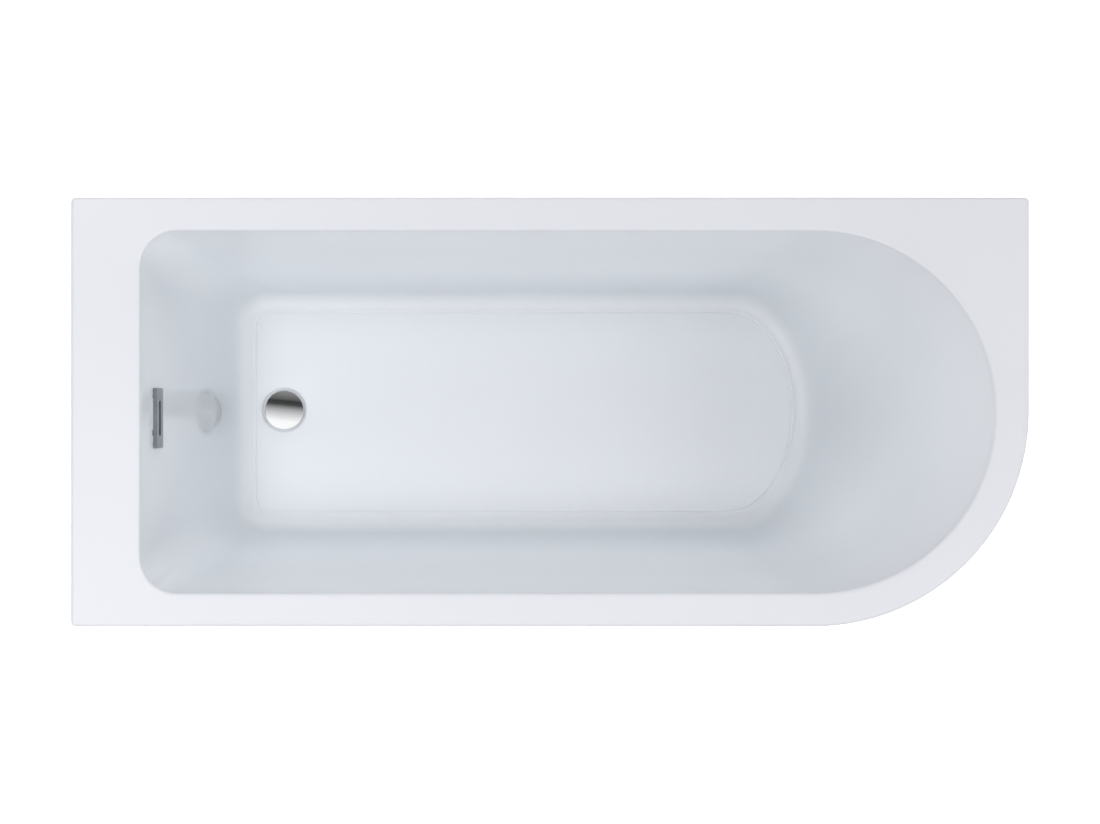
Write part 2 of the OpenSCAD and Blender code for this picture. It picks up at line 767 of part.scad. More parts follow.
module wall_brackets()
    color("silver") wall_bracket_places() difference() {
        translate([-strip_w / 2, 0, 0]) rotate([90, 0, 90]) linear_extrude(strip_w)
            polygon([[0, bracket_z - bracket_h], [-strip_t, bracket_z - bracket_h],
                [-strip_t, bracket_z - strip_t], [-riser_a - strip_t, bracket_z - strip_t],
                [-riser_a - strip_t, batten_bottom - strip_t],
                [-riser_a - bracket_leg, batten_bottom - strip_t],
                [-riser_a - bracket_leg, batten_bottom], [-riser_a, batten_bottom],
                [-riser_a, bracket_z], [0, bracket_z]]);
        bracket_screw_places() cylinder(d = wood_screw_d, h = wood_screw_l, center = true);
        for (s = [-1, 1])
            translate([s * wall_hole_x, 1, bracket_z - bracket_h * 0.6]) rotate([90, 0, 0])
                cylinder(d = wall_hole_d, h = strip_t + 2);
    }

module bracket_screws()
    color("gold") wall_bracket_places() bracket_screw_places() screw(wood_screw_d, wood_screw_l);

// ---------------------------------------------------------------- waste and plug

module waste_top_gasket()
    color("black") at_waste(recess_z) tube(flange_d - 2, waste_hole_d, top_gasket_t);

// Flange with a threaded tail, a cross inside it for the cartridge, and side
// windows through which the overflow drains
module waste_flange()
    color("gainsboro") at_waste(0) {
        difference() {
            rotate_extrude() polygon([
                [tail_r - tail_t, seat_z - tail_l], [tail_r, seat_z - tail_l], [tail_r, seat_z],
                [flange_d / 2, seat_z], [flange_d / 2, seat_z + flange_t - 1],
                [flange_d / 2 - 1, seat_z + flange_t], [tail_r, seat_z + flange_t],
                [tail_r - tail_t, seat_z + flange_t - 4]]);
            for (a = [45:90:315])
                rotate([0, 0, a]) translate([0, -window_w / 2, collar_z + collar_wall])
                    cube([tail_d, window_w, collar_h - 2 * collar_wall]);
        }
        difference() {
            union() {
                translate([0, 0, cross_z]) cylinder(d = cartridge_d + 6, h = cross_h);
                for (a = [0:120:240])
                    rotate([0, 0, a]) translate([0, -cross_t / 2, cross_z])
                        cube([tail_r - tail_t / 2, cross_t, cross_h]);
            }
            translate([0, 0, cross_z - 1]) cylinder(d = cartridge_d, h = cross_h + 2);
        }
    }

module plug_cartridge()
    color("goldenrod") at_waste(0) difference() {
        union() {
            translate([0, 0, cartridge_z]) cylinder(d = cartridge_d, h = cross_z + cross_h - cartridge_z);
            translate([0, 0, cross_z + cross_h]) cylinder(d = cartridge_d + 4, h = 2);
        }
        translate([0, 0, spring_z]) cylinder(d = cavity_d, h = cavity_h);
        translate([0, 0, spring_z]) cylinder(d = stem_d + 2 * stem_gap, h = tail_l);
    }

// The stem's collar runs in the cartridge on the spring, up to the end of its cavity
module plug_stem()
    color("goldenrod") at_waste(stem_z) {
        cylinder(d = cavity_d - 0.4, h = stem_collar_h);
        cylinder(d = stem_d, h = cap_z + cap_socket - stem_z);
    }

module waste_cap()
    color("silver") at_waste(cap_z) difference() {
        rotate_extrude() polygon(concat([[0, 0], [cap_d / 2 - 1, 0], [cap_d / 2, 1]],
            [for (p = dome_arc(cap_d, cap_rise)) p + [0, cap_edge]]));
        translate([0, 0, -1]) cylinder(d = stem_d, h = cap_socket + 1);
    }

module plug_seal()
    color("black") at_waste(cap_z - seal_t) tube(seal_d, seal_bore, seal_t);

// Coil of round wire, swept along a helix
module plug_spring() {
    coil_r = stem_d / 2 + spring_wire;
    steps = spring_turns * 12;
    rise = stem_z - spring_z - spring_wire;
    sides = 6;
    points = [for (k = [0:steps], j = [0:sides - 1])
        let (a = 30 * k, b = 360 * j / sides, r = coil_r + spring_wire / 2 * cos(b))
        [r * cos(a), r * sin(a), spring_wire / 2 * (1 + sin(b)) + rise * k / steps]];
    walls = [for (k = [0:steps - 1], j = [0:sides - 1])
        let (a = k * sides + j, b = k * sides + (j + 1) % sides)
        each [[a, b + sides, b], [a, a + sides, b + sides]]];
    ends = [[for (j = [0:sides - 1]) j],
            [for (j = [sides - 1:-1:0]) steps * sides + j]];
    color("silver") at_waste(spring_z) polyhedron(points, concat(walls, ends), convexity = 6);
}

module waste_lower_gasket()
    color("black") at_waste(board_top - lower_gasket_t)
        tube(collar_d, tail_d + hole_play, lower_gasket_t);

// Collar round the tail, with the spigot of the overflow hose
module overflow_collar()
    color("white") at_waste(collar_z) rotate([0, 0, hose_a]) difference() {
        union() {
            cylinder(d = collar_d, h = collar_h);
            translate([0, 0, port_h]) rotate([0, 90, 0]) cylinder(d = hose_bore, h = port_reach);
        }
        translate([0, 0, -1]) cylinder(d = tail_d + hole_play, h = collar_h + 2);
        translate([0, 0, collar_wall])
            cylinder(d = collar_d - 2 * collar_wall, h = collar_h - 2 * collar_wall);
        translate([0, 0, port_h]) rotate([0, 90, 0])
            cylinder(d = hose_bore - 2 * spigot_wall, h = port_reach + 1);
    }

module waste_backnut()
    color("white") at_waste(collar_z - backnut_h) difference() {
        cylinder(d = backnut_d, h = backnut_h, $fn = 6);
        translate([0, 0, -1]) cylinder(d = tail_d + 2 * thread_gap, h = backnut_h + 2);
    }

// ---------------------------------------------------------------- overflow

module overflow_cover()
    color("silver") on_waste_wall(overflow_depth, overflow_y) difference() {
        union() {
            wall_slab(cover_l, cover_h, cover_r, 0, cover_t - cover_bevel);
            wall_slab(cover_l - 2 * cover_bevel, cover_h - 2 * cover_bevel,
                      cover_r - cover_bevel, cover_t - cover_bevel, cover_t);
        }
        wall_slab(overflow_hole_l, overflow_hole_h, cover_r, -1, cover_t - cover_wall);
        wall_slab(slot_l, slot_h, slot_h / 2 - 0.2, 0, cover_t + 1);
        overflow_screw_places() rotate([0, 90, 0])
            translate([0, 0, -1]) cylinder(d = small_screw_d, h = 1 + cover_t - cover_wall);
    }

module overflow_gasket()
    color("black") on_waste_wall(overflow_depth, overflow_y) difference() {
        wall_slab(cover_l - 2, cover_h - 2, cover_r, overflow_seat - 3, overflow_seat);
        overflow_cuts();
    }

module overflow_body()
    color("white") difference() {
        union() {
            on_waste_wall(overflow_depth, overflow_y) {
                wall_slab(cover_l - 4, cover_h - 4, cover_r, body_x, overflow_seat - 3);
                wall_slab(chamber_l, chamber_h, cover_r, body_x - chamber_t, body_x);
            }
            translate([port_x, overflow_y, port_z - chamber_h / 2 - spigot_l])
                cylinder(d = hose_bore, h = spigot_l + chamber_h / 4);
        }
        on_waste_wall(overflow_depth, overflow_y) {
            wall_slab(chamber_l - 2 * spigot_wall, chamber_h - 2 * spigot_wall, cover_r,
                      body_x - chamber_t + spigot_wall, overflow_seat);
            overflow_screw_places() rotate([0, 90, 0])
                translate([0, 0, body_x - 1]) cylinder(d = small_screw_d + hole_play, h = 20);
        }
        translate([port_x, overflow_y, port_z - chamber_h - spigot_l])
            cylinder(d = hose_bore - 2 * spigot_wall, h = spigot_l + chamber_h);
    }

module overflow_screws()
    color("gold") on_waste_wall(overflow_depth, overflow_y) overflow_screw_places()
        translate([body_x, 0, 0]) rotate([0, 90, 0])
            screw(small_screw_d, cover_t - cover_wall - 0.5 - body_x);

// Straight run of the hose along Z, from its plain cuff to the bend
module hose_run_out(l) {
    first = cuff_l + rib_pitch / 2;
    rotate_extrude() polygon(concat(
        [[hose_bore / 2, 0], [cuff_d / 2, 0], [cuff_d / 2, cuff_l], [hose_tube_d / 2, cuff_l]],
        [for (z = [first:rib_pitch:l - rib_pitch]) each [
            [hose_tube_d / 2, z], [hose_d / 2, z + rib_pitch / 4],
            [hose_d / 2, z + rib_pitch / 2], [hose_tube_d / 2, z + rib_pitch * 3 / 4]]],
        [[hose_tube_d / 2, l], [hose_bore / 2, l]]));
}

// Hose in the plane through both spigots: level from the waste, a bend, then upright
module overflow_hose()
    color("whitesmoke") at_waste(0) rotate([0, 0, hose_a]) {
        translate([hose_start, 0, hose_z]) rotate([0, 90, 0])
            hose_run_out(hose_run - hose_bend_r - hose_start);
        translate([hose_run, 0, hose_top]) rotate([180, 0, 0])
            hose_run_out(hose_top - hose_z - hose_bend_r);
        translate([hose_run - hose_bend_r, 0, hose_z + hose_bend_r]) difference() {
            union() {
                tube_bend(hose_bend_r, hose_tube_d, 0, -90, 90);
                for (a = [bend_rib_step / 2:bend_rib_step:90])
                    rotate([0, 90 - a, 0]) translate([hose_bend_r, 0, -rib_pitch / 6])
                        cylinder(d = hose_d, h = rib_pitch / 3);
            }
            tube_bend(hose_bend_r, hose_bore, 0, -90, 90);
        }
    }

// Band clip round a cuff, with its screw housing
module band_clip() {
    tube(cuff_d + 2 * clip_t, cuff_d, clip_w);
    translate([cuff_d / 2 + clip_t / 2, -clip_w / 2, 0]) cube([clip_w * 0.6, clip_w, clip_w]);
}

module hose_clips()
    color("silver") at_waste(0) rotate([0, 0, hose_a]) {
        translate([hose_start + cuff_l / 4, 0, hose_z]) rotate([0, 90, 0]) band_clip();
        translate([hose_run, 0, hose_top - cuff_l * 3 / 4]) rotate([0, 0, 180]) band_clip();
    }

// ---------------------------------------------------------------- trap

// Nut that draws a tube's collar up or down onto a washer, seen from its open end
module union_nut(bore, lip_bore, h)
    difference() {
        cylinder(d = trap_nut_d, h = h);
        translate([0, 0, nut_lip]) cylinder(d = bore, h = h);
        translate([0, 0, -1]) cylinder(d = lip_bore, h = h);
        for (a = [0:30:330])
            rotate([0, 0, a]) translate([trap_nut_d / 2 + 0.6, 0, -1]) cylinder(d = 4, h = h + 2);
    }

module trap_inlet_nut()
    color("white") at_waste(inlet_z - collar_rim - nut_lip)
        union_nut(tail_d + 2 * thread_gap, trap_d + hole_play, inlet_nut_h);

module trap_inlet_washer()
    color("black") at_waste(inlet_z) tube(tail_d - 2, trap_bore, washer_t);

// U bend from the waste to the joint of the outlet
module trap_bend()
    color("white") at_waste(0) rotate([0, 0, 90]) difference() {
        union() {
            translate([0, 0, bend_z]) cylinder(d = trap_d, h = inlet_z - bend_z);
            translate([0, 0, inlet_z - collar_rim]) cylinder(d = tail_d - 2, h = collar_rim);
            translate([trap_bend_r, 0, bend_z]) tube_bend(trap_bend_r, trap_d, 0, 180, 180);
            translate([2 * trap_bend_r, 0, bend_z - 2])
                cylinder(d = swivel_d, h = joint_z - bend_z + 2);
        }
        translate([0, 0, bend_z]) cylinder(d = trap_bore, h = inlet_z);
        translate([trap_bend_r, 0, bend_z]) tube_bend(trap_bend_r, trap_bore, 0, 180, 180);
        translate([2 * trap_bend_r, 0, bend_z]) cylinder(d = trap_bore, h = inlet_z);
    }

module at_swivel(z) at_waste(z) translate([0, 2 * trap_bend_r, 0]) children();

module trap_union_washer()
    color("black") at_swivel(joint_z) tube(swivel_d, trap_bore, washer_t);

// Nut over the joint; its lip holds the outlet elbow's collar down
module trap_union_nut()
    color("white") at_swivel(elbow_z + collar_rim + swivel_gap + nut_lip)
        rotate([180, 0, 0])
            union_nut(swivel_d + 2 * thread_gap, trap_d + 2 * nut_lip, union_nut_h);

// Outlet elbow, which swivels on the joint's washer
module trap_outlet_elbow()
    color("white") at_swivel(elbow_z) rotate([0, 0, 90]) difference() {
        union() {
            cylinder(d = swivel_d - 2 * swivel_gap, h = collar_rim);
            cylinder(d = trap_d, h = elbow_rise);
            translate([elbow_r, 0, elbow_rise]) tube_bend(elbow_r, trap_d, 0, 90, 90);
            translate([elbow_r, 0, elbow_rise + elbow_r]) rotate([0, 90, 0]) {
                cylinder(d = trap_d, h = neck_l);
                translate([0, 0, neck_l]) cylinder(d = socket_d, h = socket_l);
            }
        }
        translate([0, 0, elbow_rise - collar_rim]) cylinder(d = trap_bore, h = collar_rim);
        translate([elbow_r, 0, elbow_rise]) tube_bend(elbow_r, trap_bore, 0, 90, 90);
        translate([elbow_r, 0, elbow_rise + elbow_r]) rotate([0, 90, 0]) {
            cylinder(d = trap_bore, h = neck_l + socket_wall + 1);
            translate([0, 0, neck_l + socket_wall])
                cylinder(d = pipe_d + pipe_play, h = socket_l);
        }
    }

module at_outlet(x)
    at_swivel(elbow_z + elbow_rise + elbow_r) rotate([0, 0, 90])
        translate([elbow_r + neck_l + x, 0, 0]) rotate([0, 90, 0]) children();

module trap_outlet_seal()
    color("black") at_outlet(socket_l) tube(socket_d - 1, pipe_d + pipe_play, seal_ring_t);

module trap_outlet_nut()
    color("white") at_outlet(socket_l + seal_ring_t + nut_lip) rotate([180, 0, 0])
        union_nut(socket_d, pipe_d + 2 * pipe_play, outlet_nut_h);

tub_shell();
fibreglass_backing();
base_board();
rim_battens();
leg_bar(0);  // leg_bar_waste_end
leg_bar(1);  // leg_bar_backrest_end
leg_bar_screws();
foot_lock_nuts();
foot_stud(0);  // foot_stud_front_waste
foot_stud(1);  // foot_stud_back_waste
foot_stud(2);  // foot_stud_front_backrest
foot_stud(3);  // foot_stud_back_backrest
foot_pad(0);  // foot_pad_front_waste
foot_pad(1);  // foot_pad_back_waste
foot_pad(2);  // foot_pad_front_backrest
foot_pad(3);  // foot_pad_back_backrest
panel_stays();
stay_screws();
front_panel();
panel_screws();
wall_brackets();
bracket_screws();
waste_cap();
plug_stem();
plug_seal();
plug_cartridge();
plug_spring();
waste_flange();
waste_top_gasket();
waste_lower_gasket();
overflow_collar();
waste_backnut();
overflow_cover();
overflow_gasket();
overflow_body();
overflow_screws();
overflow_hose();
hose_clips();
trap_inlet_nut();
trap_inlet_washer();
trap_bend();
trap_union_nut();
trap_union_washer();
trap_outlet_elbow();
trap_outlet_nut();
trap_outlet_seal();
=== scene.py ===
import math

import bpy
import numpy as np
from bpy.props import FloatProperty, FloatVectorProperty, PointerProperty
from bpy.types import Operator, Panel, PropertyGroup
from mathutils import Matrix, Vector, noise


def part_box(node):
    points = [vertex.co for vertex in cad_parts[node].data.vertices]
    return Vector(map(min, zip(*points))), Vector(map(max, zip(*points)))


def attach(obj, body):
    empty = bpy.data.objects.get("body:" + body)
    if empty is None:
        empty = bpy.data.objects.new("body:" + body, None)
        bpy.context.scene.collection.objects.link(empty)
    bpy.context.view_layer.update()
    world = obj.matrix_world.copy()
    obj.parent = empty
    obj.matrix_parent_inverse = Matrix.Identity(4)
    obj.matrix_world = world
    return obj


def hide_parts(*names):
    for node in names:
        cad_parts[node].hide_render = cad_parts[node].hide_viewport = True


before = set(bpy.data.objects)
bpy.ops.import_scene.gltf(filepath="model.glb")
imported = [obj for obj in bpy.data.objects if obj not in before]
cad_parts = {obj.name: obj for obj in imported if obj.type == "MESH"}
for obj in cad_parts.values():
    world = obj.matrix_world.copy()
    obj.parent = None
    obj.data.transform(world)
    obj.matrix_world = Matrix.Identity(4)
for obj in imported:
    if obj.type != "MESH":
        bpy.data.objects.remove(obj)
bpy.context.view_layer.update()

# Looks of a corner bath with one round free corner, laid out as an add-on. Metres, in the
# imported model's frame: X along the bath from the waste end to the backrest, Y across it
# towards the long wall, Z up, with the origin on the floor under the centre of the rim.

bl_info = {
    "name": "Corner bath",
    "version": (1, 0, 0),
    "blender": (4, 5, 0),
    "location": "3D View > Sidebar > Bath",
    "description": "Builds the surfaces, finishes and studio of a corner bath",
    "category": "Object",
}

BATH = "bath"
SHELL_LOW, SHELL_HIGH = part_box("tub_shell")
CAP_LOW, CAP_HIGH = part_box("waste_cap")
COVER_LOW, COVER_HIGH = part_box("overflow_cover")
WASTE = ((CAP_LOW + CAP_HIGH) / 2).to_2d()
RIM_Z = SHELL_HIGH.z
HALF_L = (SHELL_HIGH.x - SHELL_LOW.x) / 2
HALF_W = (SHELL_HIGH.y - SHELL_LOW.y) / 2
END_X = HALF_L - HALF_W


def length(name, default, description):
    """A size in metres that a user may change."""
    return FloatProperty(name=name, default=default, min=0.0, unit="LENGTH", precision=4, description=description)


def colour(name, default, description):
    """A colour that a user may change."""
    return FloatVectorProperty(name=name, default=default, min=0.0, max=1.0, size=3, subtype="COLOR",
                               description=description)


class BathSizes(PropertyGroup):
    """Sizes of the moulding."""

    ledge_end: length("Ledge", 0.120, "Width of the ledge at the waste end")
    rim_w: length("Rim", 0.0575, "Width of the rim on the other three sides")
    lip_h: length("Lip", 0.040, "Depth of the turned-down lip")
    edge_r: length("Edge radius", 0.006, "Radius of the rim's outer edge")
    edge_corner_r: length("Corner radius", 0.008, "Radius of the square corners, seen from above")
    roll_r: length("Roll radius", 0.006, "Radius of the roll into the basin")
    basin_depth: length("Depth", 0.410, "Depth of the basin at the waste")
    floor_w: length("Floor width", 0.380, "Width of the flat floor")
    waste_wall_run: length("Waste wall run", 0.155, "Horizontal run of the waste-end wall")
    backrest_run: length("Backrest run", 0.317, "Horizontal run of the sloping backrest")
    floor_end_a: length("Floor end", 0.125, "Length of the rounded end of the floor")
    rim_corner_r: length("Basin corner", 0.065, "Radius of the basin's two corners at the rim")
    floor_corner_r: length("Floor corner", 0.025, "Radius of the basin's two corners on the floor")
    fillet_r: length("Fillet", 0.040, "Radius between walls and floor")
    waste_wall_curve: FloatProperty(name="Wall curve", default=0.85, min=0.0, max=2.0,
                                    description="How much the waste-end wall flattens towards its foot")
    floor_fall: FloatProperty(name="Fall", default=0.006, min=0.0, max=0.02,
                              description="Fall of the floor towards the waste")
    acrylic_t: length("Acrylic", 0.005, "Thickness of the acrylic sheet")
    laminate_t: length("Laminate", 0.0035, "Thickness of the laminate on the walls")
    laminate_bed: length("Bed", 0.005, "Thickness of the laminate over the base board")
    recess_r: length("Recess", 0.0425, "Radius of the moulded recess round the waste")
    recess_h: length("Recess depth", 0.0025, "Depth of the recess")
    waste_hole_r: length("Waste hole", 0.0259, "Radius of the hole for the waste")
    dome_d: length("Dome", 0.070, "Diameter of the moulded dome on the waste-end wall")
    dome_depth: length("Dome depth", 0.298, "Depth of the dome's centre below the rim")
    dome_rise: length("Dome rise", 0.0155, "How far the dome stands out from the wall")
    cap_edge: length("Cap edge", 0.003, "Height of the cap's edge")


class BathColours(PropertyGroup):
    """Colours of the finishes."""

    acrylic: colour("Acrylic", (0.80, 0.80, 0.855), "Glossy sheet of the rim and the panel")
    # Painted light: the same sheet lighter and cooler in the basin, standing in for light bounced inside it.
    basin: colour("Basin", (0.846, 0.864, 0.903), "The same sheet where it is drawn into the basin")
    # Painted shade: the same sheet darker in a band low on the basin walls, and darker still over the dome.
    foot_shade: colour("Wall foot", (0.700, 0.735, 0.768), "The same sheet where it is drawn thinnest")
    laminate: colour("Laminate", (0.62, 0.60, 0.50), "Glass fibre laminate on the hidden side")
    board: colour("Board", (0.50, 0.36, 0.21), "Chipboard under the floor")
    timber: colour("Timber", (0.62, 0.45, 0.26), "Battens under the rim")
    zinc: colour("Zinc", (0.62, 0.64, 0.65), "Galvanised steel")
    chrome: colour("Chrome", (0.86, 0.87, 0.88), "Chrome plate")
    satin: colour("Satin chrome", (0.36, 0.39, 0.41), "Brushed plate of the overflow cover")
    brass: colour("Brass", (0.72, 0.52, 0.24), "Turned brass")
    plastic: colour("Plastic", (0.78, 0.78, 0.76), "White moulded plastic")
    rubber: colour("Rubber", (0.018, 0.018, 0.020), "Black rubber")


class StudioSettings(PropertyGroup):
    """Camera and light."""

    camera_h: length("Camera height", 4.30, "Height of the camera above the rim")
    picture_w: FloatProperty(name="Picture width", default=1100.0, description="Width of the picture in pixels")
    bath_px: FloatProperty(name="Bath in the picture", default=959.0,
                           description="Length of the bath in the picture, in pixels")
    sky: FloatProperty(name="Sky", default=0.18, min=0.0, description="Strength of the soft light from all round")
    lamps: FloatProperty(name="Lamps", default=1.0, min=0.0, description="Share of the lamps' own power")


# ---------------------------------------------------------------- outlines of the moulding

CORNER_STEPS = 10
SIDE_STEPS = 72
SQUARE_LOW, SQUARE_HIGH = 45 - 5.6, 45 + 5.6
DOME_BAND = 0.13


def arc(cx, cy, rx, ry, start, stop, steps):
    """Part of an ellipse as points, with angles in degrees."""
    a = np.radians(np.linspace(start, stop, steps + 1))
    return np.column_stack([cx + rx * np.cos(a), cy + ry * np.sin(a)])


def along(p, q, t):
    """Points between p and q at the shares t."""
    return p + (q - p) * t[:, None]


def end_angles():
    """Angles round the far end, closer together at the square corner behind."""
    return np.concatenate([np.linspace(-90, SQUARE_LOW, 40)[:-1], np.linspace(SQUARE_LOW, SQUARE_HIGH, 11),
                           np.linspace(SQUARE_HIGH, 90, 13)[1:]])


def end_shares():
    """Shares along the waste end, closer together over the overflow and the dome."""
    low, high = 0.5 - DOME_BAND, 0.5 + DOME_BAND
    return np.concatenate([np.linspace(0, low, 11)[1:-1], np.linspace(low, high, 25), np.linspace(high, 1, 11)[1:-1]])


def closed(front, round_end, back):
    """Ring seen from above, anticlockwise from the front corner at the waste end."""
    sides = np.linspace(0, 1, SIDE_STEPS + 1)[1:-1]
    return np.vstack([front, along(front[-1], round_end[0], sides), round_end,
                      along(round_end[-1], back[0], sides), back, along(back[-1], front[0], end_shares())])


def ring(x0, hw, r, round_end):
    return closed(arc(x0 + r, r - hw, r, r, 180, 270, CORNER_STEPS), round_end,
                  arc(x0 + r, hw - r, r, r, 90, 180, CORNER_STEPS))


def ellipse_end(cx, rx, ry):
    a = np.radians(end_angles())
    return np.column_stack([cx + rx * np.cos(a), ry * np.sin(a)])


def rim_end(r, corner):
    """Outer end of the rim: round in front, square with a small corner behind."""
    points = []
    low, high = SQUARE_LOW, SQUARE_HIGH
    for a in end_angles():
        if a <= 0:
            p = (r * math.cos(math.radians(a)), r * math.sin(math.radians(a)))
        elif a < low:
            p = (r, (r - corner) * math.tan(math.radians(a)) / math.tan(math.radians(low)))
        elif a > high:
            p = ((r - corner) * math.tan(math.radians(90 - a)) / math.tan(math.radians(low)), r)
        else:
            b = math.radians(90 * (a - low) / (high - low))
            p = (r - corner + corner * math.cos(b), r - corner + corner * math.sin(b))
        points.append((END_X + p[0], p[1]))
    return np.array(points)


def rim_ring(s, inset):
    r = s.edge_corner_r - inset
    return ring(inset - HALF_L, HALF_W - inset, r, rim_end(HALF_W - inset, r))


def bend(p, q, r, t):
    """Curve from p to r that leaves towards q, at the shares t."""
    t = np.asarray(t)[:, None]
    p, q, r = (np.asarray(v, float) for v in (p, q, r))
    return (1 - t) ** 2 * p + 2 * t * (1 - t) * q + t ** 2 * r


WALL_BELLY = 0.7
FILLET_RUN, FILLET_FALL = 0.9, 0.6
EDGE_STEPS = 8
RIM_SHARES = (0.06, 0.5, 0.94)
ROLL_SHARES = np.linspace(0, 1, 9)
WALL_SHARES = np.linspace(0, 1, 29)[1:]
FILLET_SHARES = np.concatenate([np.linspace(0, 0.8, 9)[1:], [0.84, 0.88, 0.91, 0.935, 0.955, 0.97, 0.98, 0.99, 1.0]])


def wall_section(s, run, depth, curve):
    """Wall from the rim edge to the floor, as inset and depth below the rim."""
    mean = math.atan((run - FILLET_RUN * s.fillet_r) / (depth - FILLET_FALL * s.fillet_r))
    foot = mean * (1 + curve)
    foot_len = s.fillet_r * math.tan((math.pi / 2 - foot) / 2)
    corner = np.array([run - foot_len, depth])
    start = corner - foot_len * np.array([math.sin(foot), math.cos(foot)])
    belly = start - start[1] * (1 - WALL_BELLY) * np.array([math.tan(foot), 1])
    top = math.atan2(belly[0], belly[1])
    roll_len = s.roll_r * math.tan((math.pi / 2 - top) / 2)
    roll_end = roll_len * np.array([math.sin(top), math.cos(top)])
    return np.vstack([bend((-roll_len, 0), (0, 0), roll_end, ROLL_SHARES),
                      bend(roll_end, belly, start, WALL_SHARES),
                      bend(start, corner, (run, depth), FILLET_SHARES)])


def floor_at(s, x):
    return RIM_Z - s.basin_depth + s.floor_fall * (x - WASTE.x)


def flat(points, z):
    return np.column_stack([points, np.broadcast_to(z, len(points))])


def facing(rows):
    """Upward normals of a grid of rings."""
    inward = np.gradient(rows, axis=0)
    round_it = np.roll(rows, -1, axis=1) - np.roll(rows, 1, axis=1)
    n = np.cross(round_it, inward)
    return n / np.maximum(np.linalg.norm(n, axis=2, keepdims=True), 1e-12)


def basin_corner(s, section, k):
    """Radius of the basin's two corners on one of the rings; round the floor it grows with the fillet."""
    inset, depth = section[k]
    foot = len(ROLL_SHARES) + len(WALL_SHARES) - 1
    if k >= foot:
        return s.floor_corner_r + section[-1][0] - inset
    if k < len(ROLL_SHARES):
        return s.rim_corner_r - inset
    foot_r = s.floor_corner_r + section[-1][0] - section[foot][0]
    return s.rim_corner_r + (foot_r - s.rim_corner_r) * depth / section[foot][1]


def moulding(s):
    """The bath's upper surface as rings: lip, edge, rim, roll, wall and fillet."""
    rim_x0 = s.ledge_end - HALF_L
    rim_hw = HALF_W - s.rim_w
    rim_x1 = END_X + rim_hw
    waste, side, back = (wall_section(s, run, s.basin_depth, curve) for run, curve in (
        (s.waste_wall_run, s.waste_wall_curve), (rim_hw - s.floor_w / 2, 0), (s.backrest_run, 0)))
    rings = []
    for k in range(len(waste)):
        half = rim_hw - side[k][0]
        round_r = rim_hw + (s.floor_end_a - rim_hw) * back[k][0] / s.backrest_run
        rings.append(ring(rim_x0 + waste[k][0], half, basin_corner(s, waste, k),
                          ellipse_end(rim_x1 - back[k][0] - round_r, round_r, half)))
    outward = ring(-1, 1, 1, ellipse_end(0, 1, 1))
    shares = np.column_stack([np.minimum(outward[:, 0], 0) ** 2, outward[:, 1] ** 2,
                              np.maximum(outward[:, 0], 0) ** 2])
    deep = (RIM_Z - floor_at(s, rings[-1][:, 0])) / s.basin_depth
    rows = [flat(rim_ring(s, 0), RIM_Z - s.lip_h), flat(rim_ring(s, 0), RIM_Z - s.lip_h / 2)]
    for a in np.radians(np.linspace(0, 90, EDGE_STEPS)):
        rows.append(flat(rim_ring(s, s.edge_r * (1 - math.cos(a))), RIM_Z - s.edge_r * (1 - math.sin(a))))
    inner = [flat(points, RIM_Z - deep * (shares @ (waste[k][1], side[k][1], back[k][1])))
             for k, points in enumerate(rings)]
    rows += [rows[-1] + (inner[0] - rows[-1]) * t for t in RIM_SHARES]
    return np.array(rows + inner), rings[-1]


LIP_ROWS = 2 + EDGE_STEPS + len(RIM_SHARES)
ROLL_END = LIP_ROWS + len(ROLL_SHARES) - 1
CREASE_STEPS = np.array([0.001, 0.002, 0.003, 0.0045])
CREASE_W = 0.0016
CREASE_DEPTH = 0.0013
BEAD_W = 0.0075
BEAD_END_W = 0.0055
BEAD_H = 0.0012
BEAD_END_H = 0.0030
BEAD_END_REACH = 0.09
FLOOR_SHARES = (0.1, 0.3, 0.55, 0.8)


def towards_waste(edge, steps, z_at):
    """Rings over the floor from its edge to the waste; steps are (radius, share of the way down, level)."""
    centre = np.array([WASTE.x, WASTE.y])
    way = edge - centre
    far = np.linalg.norm(way, axis=1)
    out = way / far[:, None]
    room = far - steps[0][0]
    near = CREASE_STEPS[-1] / room
    shares = [d / room for d in CREASE_STEPS] + [near + (1 - near) * t for t in FLOOR_SHARES]
    rows = []
    for radius in [far - room * t for t in shares]:
        p = centre + out * radius[:, None]
        rows.append(flat(p, z_at(p[:, 0])))
    for radius, share, level in steps:
        p = centre + out * radius
        z = z_at(p[:, 0])
        rows.append(flat(p, z + (level - z) * share))
    return np.array(rows)


def crease(rows, first, walls, edge):
    """Presses a fine line round the floor, with a low bead outside it where the walls' fillet ends."""
    end = np.clip((edge[:, 0] - edge[:, 0].max()) / BEAD_END_REACH + 1, 0, 1)
    bead_h = BEAD_H + (BEAD_END_H - BEAD_H) * end
    bead_w = BEAD_W + (BEAD_END_W - BEAD_W) * end
    for k in range(first, len(rows)):
        away = np.linalg.norm(rows[k][:, :2] - edge, axis=1)
        line = np.exp(-(away / CREASE_W) ** 2)
        rows[k][:, 2] -= CREASE_DEPTH * line
        if k < walls:
            rows[k][:, 2] += bead_h * (1 - line) * np.exp(-(away / bead_w) ** 2)


# ---------------------------------------------------------------- meshes

